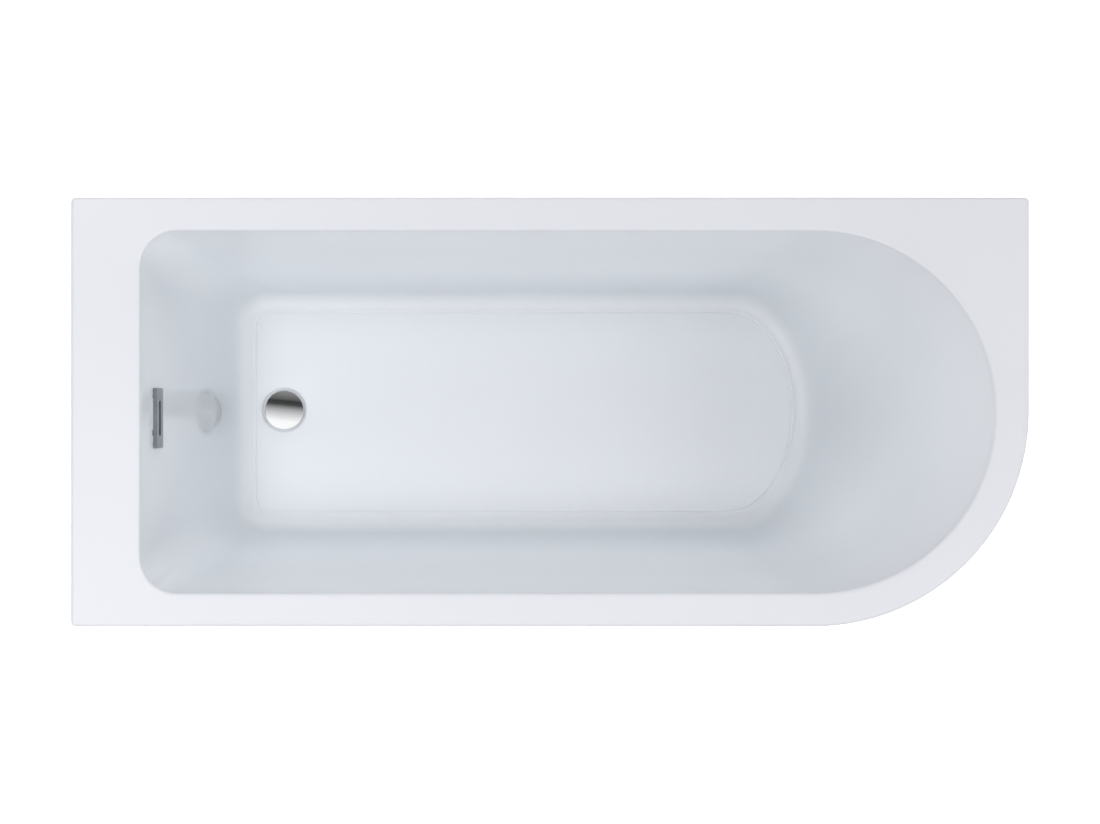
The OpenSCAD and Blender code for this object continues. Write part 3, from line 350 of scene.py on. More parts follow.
def skin_faces(rows, columns, hole):
    """Faces of a closed skin between two grids of rings, with a block of cells left open."""
    base = rows * columns
    r, c = np.meshgrid(np.arange(rows - 1), np.arange(columns), indexing="ij")
    r0, r1, c0, c1 = hole
    keep = np.ones(r.shape, bool)
    keep[r0:r1, c0:c1] = False
    a = (r * columns + c)[keep]
    b = (r * columns + (c + 1) % columns)[keep]
    over = np.column_stack([a, b, b + columns, a + columns])
    under = over[:, ::-1] + base
    i = np.arange(columns)
    j = (i + 1) % columns
    last = (rows - 1) * columns
    sides = [np.column_stack([j, i, base + i, base + j]),
             np.column_stack([last + i, last + j, base + last + j, base + last + i])]
    grid = np.arange(base).reshape(rows, columns)
    for edge in (grid[r0, c0:c1 + 1], grid[r0:r1 + 1, c1], grid[r1, c1:c0 - 1:-1], grid[r1:r0 - 1:-1, c0]):
        p, q = edge[:-1], edge[1:]
        sides.append(np.column_stack([p, q, base + q, base + p]))
    return np.vstack([over, under] + sides)


def make_piece(name, points, faces, body, material, replaced, sharp=30):
    """A smooth-shaded piece that rides on a body and stands for CAD nodes."""
    mesh = bpy.data.meshes.new(name)
    mesh.from_pydata([tuple(p) for p in points], [], [tuple(f) for f in faces])
    mesh.validate()
    mesh.polygons.foreach_set("use_smooth", [True] * len(mesh.polygons))
    mesh.set_sharp_from_angle(angle=math.radians(sharp))
    mesh.materials.append(material)
    piece = bpy.data.objects.new(name, mesh)
    bpy.context.scene.collection.objects.link(piece)
    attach(piece, body)
    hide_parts(*replaced)


COVER_EDGE, COVER_END = 0.006, 0.013


def overflow_cells(rows):
    """Block of grid cells behind the overflow cover, kept inside the cover's outline."""
    first = rows.shape[1] - len(end_shares())
    span = rows[:, first:]
    middle = span[:, len(end_shares()) // 2]
    top, low = COVER_HIGH.z - COVER_EDGE, COVER_LOW.z + COVER_EDGE
    levels = [k for k in range(ROLL_END, len(rows)) if low <= middle[k][2] <= top]
    line = span[levels[0], :, 1]
    inside = [k for k in range(len(line)) if COVER_LOW.y + COVER_END <= line[k] <= COVER_HIGH.y - COVER_END]
    return levels[0], levels[-1], first + inside[0], first + inside[-1]


def on_waste_wall(rows, up, height, y, depth):
    """Points at a way up the waste-end wall from a depth, and at a height over its face."""
    line = rows[ROLL_END:, rows.shape[1] - len(end_shares()) + len(end_shares()) // 2]
    way = np.concatenate([[0], np.cumsum(np.hypot(np.diff(line[:, 0]), np.diff(line[:, 2])))])
    share = np.interp(RIM_Z - depth, line[::-1, 2], way[::-1]) - up
    x, z = np.interp(share, way, line[:, 0]), np.interp(share, way, line[:, 2])
    tilt = np.arctan2(np.gradient(line[:, 0], way), -np.gradient(line[:, 2], way))
    tilt = np.interp(share, way, tilt)
    return np.column_stack([x + height * np.cos(tilt), y, z + height * np.sin(tilt)])


def cap_profile(r, rise, edge, steps):
    """Half section of a ball's cap with a rounded edge, from its middle outwards: (radius, height)."""
    ball = (r * r + rise * rise) / (2 * rise)
    turn = math.asin((r - edge) / (ball - edge))
    points = [(ball * math.sin(a), ball * math.cos(a) - ball + rise) for a in np.linspace(0, turn, steps)[1:]]
    centre = (r - edge, points[-1][1] - edge * math.cos(turn))
    for a in np.linspace(turn, math.pi / 2, 7)[1:]:
        points.append((centre[0] + edge * math.sin(a), centre[1] + edge * math.cos(a)))
    return points


def revolved(middle, profile, turns):
    """Closed solid turned round Z from a profile of (radius, height), with a flat underside."""
    a = np.arange(turns) * 2 * math.pi / turns
    rings = [np.column_stack([r * np.cos(a), r * np.sin(a), np.full(turns, z)]) for r, z in profile]
    points = np.vstack([[(0, 0, middle)]] + rings)
    k = np.arange(turns)
    after = (k + 1) % turns
    faces = np.column_stack([np.zeros(turns, int), 1 + k, 1 + after]).tolist()
    for row in range(len(profile) - 1):
        p, q = 1 + row * turns + k, 1 + row * turns + after
        faces += np.column_stack([p, p + turns, q + turns, q]).tolist()
    faces.append((1 + (len(profile) - 1) * turns + k)[::-1].tolist())
    return points, faces


DOME_FOOT = 0.0052
DOME_EDGE = 0.0014
DOME_BURIED = 0.003
DOME_REACH = 0.28
DOME_TURNS = 128
DOME_STEPS = 30
DOME_SUNK = 0.0004
DOME_CORE = 0.2
DOME_SLOPE, DOME_START, DOME_GROWTH = 0.8, 0.45, 2.5


def dome(s, rows):
    """Round moulding low on the waste-end wall: its lower edge stands proud, its upper side runs out flush."""
    r = s.dome_d / 2
    profile = cap_profile(r, s.dome_rise - DOME_FOOT, DOME_EDGE, DOME_STEPS)
    points, faces = revolved(0, profile + [(r, 0)], DOME_TURNS)
    across, up = points[:, 0], points[:, 1]
    far = np.hypot(across, up) / r
    low = np.concatenate([[s.dome_rise], np.repeat([DOME_FOOT + z for _, z in profile], DOME_TURNS),
                          np.full(DOME_TURNS, -DOME_BURIED)])
    flush = s.dome_rise * np.maximum(0, 1 - far ** 2) ** 2 - DOME_SUNK
    flush[low < 0] = -DOME_BURIED
    upper = np.clip(up / np.maximum(far, DOME_CORE) / r * DOME_SLOPE + DOME_START, 0, 1)
    upper = upper * np.minimum(1, far * DOME_GROWTH)
    upper = upper ** 2 * (3 - 2 * upper)
    height = low + (flush - low) * upper
    return on_waste_wall(rows, up * (1 + DOME_REACH * upper), height, across, s.dome_depth), faces


CAP_ROUND = 0.0007
CAP_BEVEL = 0.001
CAP_STEPS, CAP_TURNS = 40, 192


def waste_cap(s):
    """Cap of the plug: a shallow dome over an upright edge, bevelled underneath."""
    r = (CAP_HIGH.x - CAP_LOW.x) / 2
    rise = CAP_HIGH.z - CAP_LOW.z - s.cap_edge
    profile = [(d, z + s.cap_edge) for d, z in cap_profile(r, rise, CAP_ROUND, CAP_STEPS)]
    profile += [(r, CAP_BEVEL), (r - CAP_BEVEL, 0)]
    points, faces = revolved(rise + s.cap_edge, profile, CAP_TURNS)
    return points + (WASTE.x, WASTE.y, CAP_LOW.z), faces


# ---------------------------------------------------------------- finishes

GREY = (0.8, 0.8, 0.8, 1)
DUST_COLOUR = (0.62, 0.60, 0.56, 1)
DUST_ROUGHNESS = 0.95

# Painted light and shade on the acrylic sheet: lighter and cooler in the basin for light bounced inside it, a painted
# dark band low on the walls, a darker disc painted over the dome and a painted shadow along its lower edge. The ramps
# hold (place, level): the wall band's by height in metres, the dome's shade by distance from its centre in shares of
# DOME_SHADE_R, its shadow line by that distance times DOME_SPREAD.
BASIN_TONE_FROM, BASIN_TONE_TO = 0.004, 0.012
FOOT_SHADE_BAND = ((0.152, 0.0), (0.157, 0.24), (0.166, 0.58), (0.180, 0.92), (0.215, 1.0), (0.30, 0.72),
             (0.42, 0.70), (0.52, 0.30))
DOME_SHADE_R = 0.05
DOME_SHADE = ((0.0, 0.40), (0.55, 0.40), (0.72, 0.36), (0.86, 0.12), (0.96, 0.0), (1.0, 0.0))
DOME_SPREAD = (25.0, 14.2, 0.0)
DOME_SHADOW_LINE = ((0.0, 0.0), (0.42, 0.0), (0.47, 0.6), (0.505, 1.0), (0.545, 0.0), (1.0, 0.0))
DOME_SHADOW_LINE_FROM, DOME_SHADOW_LINE_TO = 0.010, 0.020
DOME_DARK = 0.62


def new_group(name, outputs, **inputs):
    """An empty node group; the kind of an input follows from its default."""
    tree = bpy.data.node_groups.new(name, "ShaderNodeTree")
    for label, default in inputs.items():
        kind = {3: "Vector", 4: "Color"}[len(default)] if isinstance(default, tuple) else "Float"
        socket = tree.interface.new_socket(name=label, in_out="INPUT", socket_type="NodeSocket" + kind)
        socket.default_value = default
    for label in outputs:
        kind = "Color" if label == "Colour" else "Float"
        tree.interface.new_socket(name=label, in_out="OUTPUT", socket_type="NodeSocket" + kind)
    return tree, tree.nodes.new("NodeGroupInput").outputs, tree.nodes.new("NodeGroupOutput").inputs


def node(tree, kind, links=(), **settings):
    """A node with its inputs linked or set: links are (input, socket or value)."""
    made = tree.nodes.new("ShaderNode" + kind)
    for key, value in settings.items():
        setattr(made, key, value)
    for key, source in links:
        if isinstance(source, bpy.types.NodeSocket):
            tree.links.new(source, made.inputs[key])
        else:
            made.inputs[key].default_value = source
    return made


def place_of(tree):
    return node(tree, "TexCoord").outputs["Object"]


def split(tree, vector):
    return node(tree, "SeparateXYZ", [(0, vector)]).outputs


def maths(tree, operation, *values, **settings):
    return node(tree, "Math", enumerate(values), operation=operation, **settings).outputs[0]


def vectors(tree, operation, *values):
    return node(tree, "VectorMath", enumerate(values), operation=operation).outputs


def span(tree, value, low, high, to_low=0.0, to_high=1.0):
    """A value taken from one range to another."""
    return node(tree, "MapRange", [("Value", value), ("From Min", low), ("From Max", high),
                                   ("To Min", to_low), ("To Max", to_high)]).outputs[0]


def blended(tree, share, a, b):
    """A colour between two others."""
    return node(tree, "Mix", [(0, share), (6, a), (7, b)], data_type="RGBA").outputs[2]


def toned(tree, level, tint):
    """A colour made lighter or darker."""
    return node(tree, "HueSaturation", [("Value", level), ("Color", tint)]).outputs[0]


def stretched(tree, place, scale, turn=(0, 0, 0)):
    return node(tree, "Mapping", [("Vector", place), ("Rotation", turn), ("Scale", scale)]).outputs[0]


def patches(tree, place, scale, detail, **more):
    """Soft noise over a surface."""
    links = [("Vector", place), ("Scale", scale), ("Detail", detail)]
    return node(tree, "TexNoise", links + list(more.items())).outputs[0]


def grey_ramp(tree, value, bands, smooth="B_SPLINE"):
    """Ramp of greys: bands are (position, level)."""
    ramp = node(tree, "ValToRGB", [(0, value)])
    ramp.color_ramp.interpolation = smooth
    stops = ramp.color_ramp.elements
    while len(stops) < len(bands):
        stops.new(0.5)
    for stop, (position, level) in zip(stops, bands):
        stop.position, stop.color = position, (level, level, level, 1)
    return ramp.outputs[0]


def uneven_group():
    """Slow change of a colour over the surface, darker and lighter."""
    tree, given, result = new_group("uneven colour", ["Colour"], Colour=GREY, Amount=0.05, Scale=5.0)
    swing = span(tree, patches(tree, place_of(tree), given["Scale"], 4.0), 0.3, 0.7, -1.0, 1.0)
    level = maths(tree, "ADD", maths(tree, "MULTIPLY", swing, given["Amount"]), 1.0)
    tree.links.new(toned(tree, level, given["Colour"]), result["Colour"])
    return tree


def painted_light_group():
    """Sheet colour with painted light and shade: lighter in the basin, a dark band low on the walls, darker over the
    dome and a shadow line below it.
    """
    tree, given, result = new_group("sheet painted light and shade", ["Colour"], Rim=GREY, Basin=GREY, Foot=(0.7, 0.7, 0.7, 1),
                                    Dome=(0, 0, 0))
    place = place_of(tree)
    height = split(tree, place)["Z"]
    # Painted light: the sheet lighter and cooler in the basin than on the rim.
    level = span(tree, height, RIM_Z - BASIN_TONE_FROM, RIM_Z - BASIN_TONE_TO)
    inside = blended(tree, level, given["Rim"], given["Basin"])
    # Painted shade: a dark band low on the walls, strongest just above the floor and weaker towards the rim.
    walls = blended(tree, grey_ramp(tree, height, FOOT_SHADE_BAND), inside, given["Foot"])
    # A darker disc painted over the dome and round it, and a painted shadow line along its lower edge.
    way = vectors(tree, "SUBTRACT", place, given["Dome"])[0]
    away = maths(tree, "DIVIDE", vectors(tree, "LENGTH", way)["Value"], DOME_SHADE_R)
    oval = vectors(tree, "LENGTH", vectors(tree, "MULTIPLY", way, DOME_SPREAD)[0])["Value"]
    lower = span(tree, split(tree, way)["X"], DOME_SHADOW_LINE_FROM, DOME_SHADOW_LINE_TO)
    line = maths(tree, "MULTIPLY", grey_ramp(tree, oval, DOME_SHADOW_LINE), lower)
    deep = maths(tree, "ADD", grey_ramp(tree, away, DOME_SHADE), line, use_clamp=True)
    dark = toned(tree, DOME_DARK, given["Foot"])
    tree.links.new(blended(tree, deep, walls, dark), result["Colour"])
    return tree


def marks_group():
    """Roughness with faint handling marks and wiped streaks."""
    tree, given, result = new_group("handling marks", ["Roughness"], Roughness=0.3, Spread=0.05, Scale=20.0)
    place = place_of(tree)
    coarse = patches(tree, place, given["Scale"], 3.0, Distortion=0.6)
    fine = patches(tree, stretched(tree, place, (1.0, 9.0, 4.0)), given["Scale"], 6.0)
    swing = span(tree, maths(tree, "MULTIPLY", coarse, fine), 0.12, 0.40, -1.0, 1.0)
    part = maths(tree, "MULTIPLY", swing, given["Spread"])
    tree.links.new(maths(tree, "ADD", part, given["Roughness"], use_clamp=True), result["Roughness"])
    return tree


def dust_group():
    """Pale dust that settles on faces that look up."""
    tree, given, result = new_group("dust", ["Colour", "Roughness"], Colour=(0.5, 0.5, 0.5, 1), Roughness=0.4,
                                    Amount=0.3)
    up = span(tree, split(tree, node(tree, "NewGeometry").outputs["Normal"])["Z"], 0.35, 0.95)
    specks = span(tree, patches(tree, place_of(tree), 45.0, 7.0), 0.38, 0.66)
    mask = maths(tree, "MULTIPLY", maths(tree, "MULTIPLY", up, specks), given["Amount"])
    rough = node(tree, "Mix", [(0, mask), (2, given["Roughness"]), (3, DUST_ROUGHNESS)])
    tree.links.new(blended(tree, mask, given["Colour"], DUST_COLOUR), result["Colour"])
    tree.links.new(rough.outputs[0], result["Roughness"])
    return tree


def relief_group():
    """Height of a moulded, cast or rolled surface."""
    tree, given, result = new_group("relief", ["Height"], Scale=100.0, Detail=3.0, Softness=0.5)
    height = patches(tree, place_of(tree), given["Scale"], given["Detail"], Roughness=given["Softness"])
    tree.links.new(height, result["Height"])
    return tree


def thread_group():
    """Height of a screw thread round the Z axis, from its pitch in metres."""
    tree, given, result = new_group("thread", ["Height"], Pitch=0.0015)
    turns = maths(tree, "DIVIDE", split(tree, place_of(tree))["Z"], given["Pitch"])
    tree.links.new(maths(tree, "PINGPONG", turns, 1.0), result["Height"])
    return tree


MAKERS = {"uneven colour": uneven_group, "sheet painted light and shade": painted_light_group, "handling marks": marks_group,
          "dust": dust_group, "relief": relief_group, "thread": thread_group}
GROUPS = {}


def effect(tree, name, **values):
    """One of the shared effects, placed in a material."""
    if name not in GROUPS:
        GROUPS[name] = MAKERS[name]()
    return node(tree, "Group", values.items(), node_tree=GROUPS[name]).outputs


def bare_nodes(owner):
    """Node tree of a material or a world, emptied."""
    owner.use_nodes = True
    owner.node_tree.nodes.clear()
    return owner.node_tree


def new_material(name):
    material = bpy.data.materials.new(name)
    tree = bare_nodes(material)
    shader = node(tree, "BsdfPrincipled")
    node(tree, "OutputMaterial", [("Surface", shader.outputs[0])])
    return material, tree, shader


def rgba(c):
    return (c[0], c[1], c[2], 1.0)


def bump(tree, shader, height, depth):
    """Puts a height, in shares of a depth in metres, on the shader's normal."""
    made = node(tree, "Bump", [("Height", height), ("Distance", depth), ("Strength", 1.0)])
    tree.links.new(made.outputs[0], shader.inputs["Normal"])


def coat(tree, shader, tone, roughness, dust=0.0):
    """Puts a colour and a roughness on the shader, under dust where it gathers."""
    if dust:
        settled = effect(tree, "dust", Colour=tone, Roughness=roughness, Amount=dust)
        tone, roughness = settled["Colour"], settled["Roughness"]
    tree.links.new(tone, shader.inputs["Base Color"])
    tree.links.new(roughness, shader.inputs["Roughness"])


def finish(name, tint, roughness, spread=0.05, metallic=0.0, uneven=0.05, uneven_scale=6.0, marks_scale=25.0,
           relief=(150.0, 3.0, 0.00004), dust=0.0, thread=0.0, ior=None):
    """A plain finish: uneven colour, handling marks, fine relief and, where it gathers, dust."""
    material, tree, shader = new_material(name)
    shader.inputs["Metallic"].default_value = metallic
    if ior:
        shader.inputs["IOR"].default_value = ior
    tone = effect(tree, "uneven colour", Colour=rgba(tint), Amount=uneven, Scale=uneven_scale)[0]
    marks = effect(tree, "handling marks", Roughness=roughness, Spread=spread, Scale=marks_scale)[0]
    coat(tree, shader, tone, marks, dust)
    if thread:
        bump(tree, shader, effect(tree, "thread", Pitch=thread)[0], thread * 0.5)
    else:
        scale, detail, depth = relief
        bump(tree, shader, effect(tree, "relief", Scale=scale, Detail=detail)[0], depth)
    return material


def metal(name, tint, roughness, spread=0.08, **rest):
    return finish(name, tint, roughness, spread=spread, metallic=1.0, **rest)


SHEET = {"roughness": 0.10, "spread": 0.03, "uneven": 0.012, "uneven_scale": 2.2, "marks_scale": 5.0,
         "relief": (9.0, 2.0, 0.00012), "ior": 1.49}


def painted_light_sheet(colours, dome_centre):
    """Glossy vacuum-formed sheet of the bath, with painted light and shade: lighter and cooler in the basin than on
    the rim, darker low on the walls and over the dome.
    """
    made = finish("acrylic sheet with painted light and shade", colours.acrylic, **SHEET)
    tree = made.node_tree
    tone = next(n for n in tree.nodes if n.type == "GROUP" and n.node_tree == GROUPS["uneven colour"])
    drawn = effect(tree, "sheet painted light and shade", Rim=rgba(colours.acrylic), Basin=rgba(colours.basin),
                   Foot=rgba(colours.foot_shade), Dome=dome_centre)
    tree.links.new(drawn[0], tone.inputs["Colour"])
    return made


STRAND_TURNS = ((0.3, 0.2, 0.1), (1.2, 0.7, 1.3), (0.5, 1.4, 2.2), (2.0, 0.4, 2.9))
STRAND_SCALE = (40.0, 520.0, 520.0)


def laminate(colours):
    """Chopped glass strands in resin, rolled on by hand."""
    material, tree, shader = new_material("glass fibre laminate")
    place = place_of(tree)
    layers = [span(tree, patches(tree, stretched(tree, place, STRAND_SCALE, turn), 1.0, 2.0), 0.55, 0.68)
              for turn in STRAND_TURNS]
    strands = layers[0]
    for layer in layers[1:]:
        strands = maths(tree, "MAXIMUM", strands, layer)
    tone = effect(tree, "uneven colour", Colour=rgba(colours.laminate), Amount=0.16, Scale=9.0)[0]
    pale = [min(1.0, c * 1.22) for c in colours.laminate]
    marks = effect(tree, "handling marks", Roughness=0.42, Spread=0.12, Scale=14.0)[0]
    coat(tree, shader, blended(tree, strands, tone, rgba(pale)), marks, 0.35)
    lumps = effect(tree, "relief", Scale=34.0, Detail=4.0)[0]
    bump(tree, shader, maths(tree, "MULTIPLY_ADD", strands, 0.22, lumps), 0.0022)
    return material


def chipboard(colours):
    """Pressed flakes, with paler and darker ones and a rough face."""
    material, tree, shader = new_material("chipboard")
    pressed = stretched(tree, place_of(tree), (190.0, 300.0, 420.0))
    flakes = node(tree, "TexVoronoi", [("Vector", pressed), ("Scale", 1.0), ("Randomness", 1.0)])
    pick = node(tree, "SeparateColor", [(0, flakes.outputs["Color"])]).outputs
    tone = effect(tree, "uneven colour", Colour=rgba(colours.board), Amount=0.10, Scale=12.0)[0]
    coat(tree, shader, toned(tree, span(tree, pick[0], 0.0, 1.0, 0.62, 1.32), tone), 0.85, 0.4)
    bump(tree, shader, flakes.outputs["Distance"], 0.0003)
    return material


BATTEN_MIDDLE = 0.033
BATTEN_ENDS = 0.7515
GRAIN_DARK = (0.60, 0.50, 0.40)


def timber(colours):
    """Planed softwood; the grain runs along each batten, so it turns at the two ends of the bath."""
    material, tree, shader = new_material("planed softwood")
    place = place_of(tree)
    axis = split(tree, place)
    outer = maths(tree, "ABSOLUTE", maths(tree, "ADD", axis["X"], -BATTEN_MIDDLE))
    at_ends = maths(tree, "GREATER_THAN", outer, BATTEN_ENDS)
    turned = node(tree, "CombineXYZ", [("X", axis["Y"]), ("Y", axis["X"]), ("Z", axis["Z"])]).outputs[0]
    way = node(tree, "Mix", [(0, at_ends), (4, place), (5, turned)], data_type="VECTOR").outputs[1]
    rings = patches(tree, stretched(tree, way, (3.0, 95.0, 95.0)), 1.0, 5.0, Distortion=0.5)
    fine = patches(tree, stretched(tree, way, (14.0, 900.0, 900.0)), 1.0, 2.0)
    ramp = node(tree, "ValToRGB", [(0, rings)])
    dark, pale = ramp.color_ramp.elements
    dark.position, dark.color = 0.34, rgba([c * k for c, k in zip(colours.timber, GRAIN_DARK)])
    pale.position, pale.color = 0.60, rgba(colours.timber)
    grain = toned(tree, span(tree, fine, 0.3, 0.7, 0.86, 1.10), ramp.outputs[0])
    coat(tree, shader, grain, effect(tree, "handling marks", Roughness=0.68, Spread=0.08, Scale=20.0)[0])
    bump(tree, shader, fine, 0.00025)
    return material


def galvanised(colours):
    """Zinc-coated sheet with crystals of different brightness."""
    material, tree, shader = new_material("galvanised sheet")
    shader.inputs["Metallic"].default_value = 0.85
    place = place_of(tree)
    warped = node(tree, "TexNoise", [("Vector", place), ("Scale", 60.0), ("Detail", 2.0)])
    moved = node(tree, "Mix", [(0, 0.06), (4, place), (5, warped.outputs["Color"])], data_type="VECTOR")
    crystals = node(tree, "TexVoronoi", [("Vector", moved.outputs[1]), ("Scale", 130.0)])
    pick = node(tree, "SeparateColor", [(0, crystals.outputs["Color"])]).outputs
    tone = effect(tree, "uneven colour", Colour=rgba(colours.zinc), Amount=0.08, Scale=12.0)[0]
    crystal = toned(tree, span(tree, pick[0], 0.0, 1.0, 0.80, 1.12), tone)
    coat(tree, shader, crystal, span(tree, pick[1], 0.0, 1.0, 0.34, 0.52), 0.3)
    bump(tree, shader, effect(tree, "relief", Scale=300.0, Detail=2.0)[0], 0.00005)
    return material


def give(material, *names):
    """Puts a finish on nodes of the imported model."""
    for name in names:
        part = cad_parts[name]
        if not part.material_slots:
            part.data.materials.append(material)
        for slot in part.material_slots:
            slot.material = material


FEET = ("front_waste", "back_waste", "front_backrest", "back_backrest")


# ---------------------------------------------------------------- operators

# Edge of the recess: (metres out from its radius, share of the way down)
RECESS_EDGE = ((0.0015, 0.0), (0.0005, 0.08), (-0.0003, 0.35), (-0.0011, 0.68), (-0.0021, 0.93), (-0.0033, 1.0))
RECESS_FLAT_R = 0.034


class BATH_OT_shell(Operator):
    """Form the acrylic moulding: rim, lip, basin, floor, recess round the waste and the dome"""
    bl_idname = "bath.shell"
    bl_label = "Moulded shell"

    def execute(self, context):
        s = context.scene.bath_sizes
        rows, edge = moulding(s)
        walls = len(rows)
        recess_z = RIM_Z - s.basin_depth - s.recess_h
        steps = [(s.recess_r + out, share, recess_z) for out, share in RECESS_EDGE]
        steps += [(RECESS_FLAT_R, 1.0, recess_z), (s.waste_hole_r, 1.0, recess_z)]
        rows = np.concatenate([rows, towards_waste(edge, steps, lambda x: floor_at(s, x))])
        normals = facing(rows)
        normals[walls:] = (0, 0, 1)
        under = rows - s.acrylic_t * normals
        crease(rows, ROLL_END + len(WALL_SHARES), walls, edge)
        faces = skin_faces(len(rows), rows.shape[1], overflow_cells(rows)).tolist()
        points = np.vstack([rows.reshape(-1, 3), under.reshape(-1, 3)])
        dome_points, dome_faces = dome(s, rows)
        faces += [[i + len(points) for i in f] for f in dome_faces]
        points = np.vstack([points, dome_points])
        centre = on_waste_wall(rows, np.zeros(1), np.zeros(1), np.zeros(1), s.dome_depth)[0]
        material = painted_light_sheet(context.scene.bath_colours, tuple(centre))
        make_piece("moulded_shell", points, faces, BATH, material, ["tub_shell"])
        return {"FINISHED"}


LUMP_HEIGHT, LUMP_SCALE = 0.0007, 22.0


class BATH_OT_backing(Operator):
    """Lay the glass fibre on the hidden side of the walls and under the floor"""
    bl_idname = "bath.backing"
    bl_label = "Laminate"

    def execute(self, context):
        s = context.scene.bath_sizes
        rows, edge = moulding(s)
        walls = len(rows)
        pad_r = s.recess_r + s.acrylic_t
        floor = towards_waste(edge, [(pad_r, 0.0, 0.0)], lambda x: floor_at(s, x))
        rows = np.concatenate([rows, floor])
        normals = facing(rows)
        normals[walls:] = (0, 0, 1)
        cells = overflow_cells(rows)
        over = rows - s.acrylic_t * normals
        under = rows - (s.acrylic_t + s.laminate_t) * normals
        for row in range(ROLL_END, walls - 1):
            for column in range(rows.shape[1]):
                p = Vector(under[row, column])
                under[row, column] -= normals[row, column] * LUMP_HEIGHT * noise.noise(p * LUMP_SCALE)
        under[walls - 1:, :, 2] = RIM_Z - s.basin_depth - s.acrylic_t - s.laminate_bed
        cells = (cells[0] - ROLL_END, cells[1] - ROLL_END, cells[2], cells[3])
        over, under = over[ROLL_END:], under[ROLL_END:]
        faces = skin_faces(len(over), over.shape[1], cells).tolist()
        points = np.vstack([over.reshape(-1, 3), under.reshape(-1, 3)])
        make_piece("laminate_backing", points, faces, BATH, laminate(context.scene.bath_colours),
                   ["fibreglass_backing"], sharp=50)
        return {"FINISHED"}


class BATH_OT_panel(Operator):
    """Finish the one-piece panel along the front and round the free corner"""
    bl_idname = "bath.panel"
    bl_label = "Front panel"

    def execute(self, context):
        give(finish("panel acrylic sheet", context.scene.bath_colours.acrylic, **SHEET), "front_panel")
        return {"FINISHED"}


class BATH_OT_woodwork(Operator):
    """Finish the board in the laminate and the battens under the rim"""
    bl_idname = "bath.woodwork"
    bl_label = "Board and battens"

    def execute(self, context):
        colours = context.scene.bath_colours
        give(chipboard(colours), "base_board")
        give(timber(colours), "rim_battens")
        return {"FINISHED"}


ZINC = {"uneven": 0.08, "uneven_scale": 60.0, "marks_scale": 80.0}
THREAD_PITCH = 0.0015


class BATH_OT_legs(Operator):
    """Finish the leg bars, stays, feet and their screws"""
    bl_idname = "bath.legs"
    bl_label = "Legs"

    def execute(self, context):
        colours = context.scene.bath_colours
        give(galvanised(colours), "leg_bar_waste_end", "leg_bar_backrest_end", "panel_stays", "wall_brackets")
        give(metal("zinc-plated steel", colours.zinc, 0.30, dust=0.2, **ZINC), "leg_bar_screws",
             "foot_lock_nuts", "stay_screws", "panel_screws", "bracket_screws")
        thread = metal("threaded zinc-plated steel", colours.zinc, 0.32, thread=THREAD_PITCH, **ZINC)
        give(thread, *["foot_stud_" + foot for foot in FEET])
        pad = finish("foot plastic", (0.035, 0.035, 0.038), 0.48, spread=0.08, uneven=0.10, uneven_scale=40.0,
                     relief=(700.0, 4.0, 0.00008), dust=0.25)
        give(pad, *["foot_pad_" + foot for foot in FEET])
        return {"FINISHED"}


class BATH_OT_waste(Operator):
    """Finish the pop-up plug, the waste and what seals and clamps it"""
    bl_idname = "bath.waste"
    bl_label = "Waste and plug"

    def execute(self, context):
        colours = context.scene.bath_colours
        chrome = metal("chrome plate", colours.chrome, 0.05, spread=0.03, uneven=0.015, uneven_scale=30.0,
                       marks_scale=60.0, relief=(40.0, 2.0, 0.00001))
        points, faces = waste_cap(context.scene.bath_sizes)
        make_piece("polished_cap", points, faces, "plug", chrome, ["waste_cap"])
        brass = metal("turned brass", colours.brass, 0.30, spread=0.10, uneven=0.08, uneven_scale=60.0,
                      marks_scale=90.0, relief=(900.0, 2.0, 0.00003))
        give(brass, "plug_stem", "plug_cartridge")
        plated = metal("chromed brass", colours.chrome, 0.12, spread=0.06, uneven=0.03, uneven_scale=40.0,
                       marks_scale=70.0, thread=THREAD_PITCH)
        give(plated, "waste_flange")
        give(metal("spring steel", (0.42, 0.42, 0.43), 0.32, uneven=0.10, uneven_scale=90.0), "plug_spring")
        rubber = finish("black rubber", colours.rubber, 0.62, spread=0.10, uneven=0.15, uneven_scale=50.0,
                        relief=(500.0, 4.0, 0.00010), dust=0.15)
        give(rubber, "plug_seal", "waste_top_gasket", "waste_lower_gasket", "overflow_gasket", "trap_inlet_washer",
             "trap_union_washer", "trap_outlet_seal")
        return {"FINISHED"}


class BATH_OT_overflow(Operator):
    """Finish the overflow: its chrome cover, body, hose and clips"""
    bl_idname = "bath.overflow"
    bl_label = "Overflow"

    def execute(self, context):
        colours = context.scene.bath_colours
        satin = metal("satin chrome", colours.satin, 0.46, spread=0.04, uneven=0.03, uneven_scale=30.0,
                      marks_scale=50.0, relief=(400.0, 2.0, 0.00001))
        give(satin, "overflow_cover", "overflow_screws")
        plastic = finish("moulded white plastic", colours.plastic, 0.36, spread=0.08, uneven=0.04, uneven_scale=14.0,
                         relief=(260.0, 4.0, 0.00006), dust=0.25)
        give(plastic, "waste_backnut", "overflow_body", "overflow_collar", "trap_inlet_nut", "trap_bend",
             "trap_union_nut", "trap_outlet_elbow", "trap_outlet_nut")
        hose = finish("hose plastic", [c * 0.93 for c in colours.plastic], 0.42, spread=0.08, uneven=0.06,
                      uneven_scale=20.0, relief=(180.0, 3.0, 0.00008), dust=0.3)
        give(hose, "overflow_hose")
        give(metal("clip steel", (0.55, 0.56, 0.57), 0.28, uneven=0.06, uneven_scale=60.0), "hose_clips")
        return {"FINISHED"}


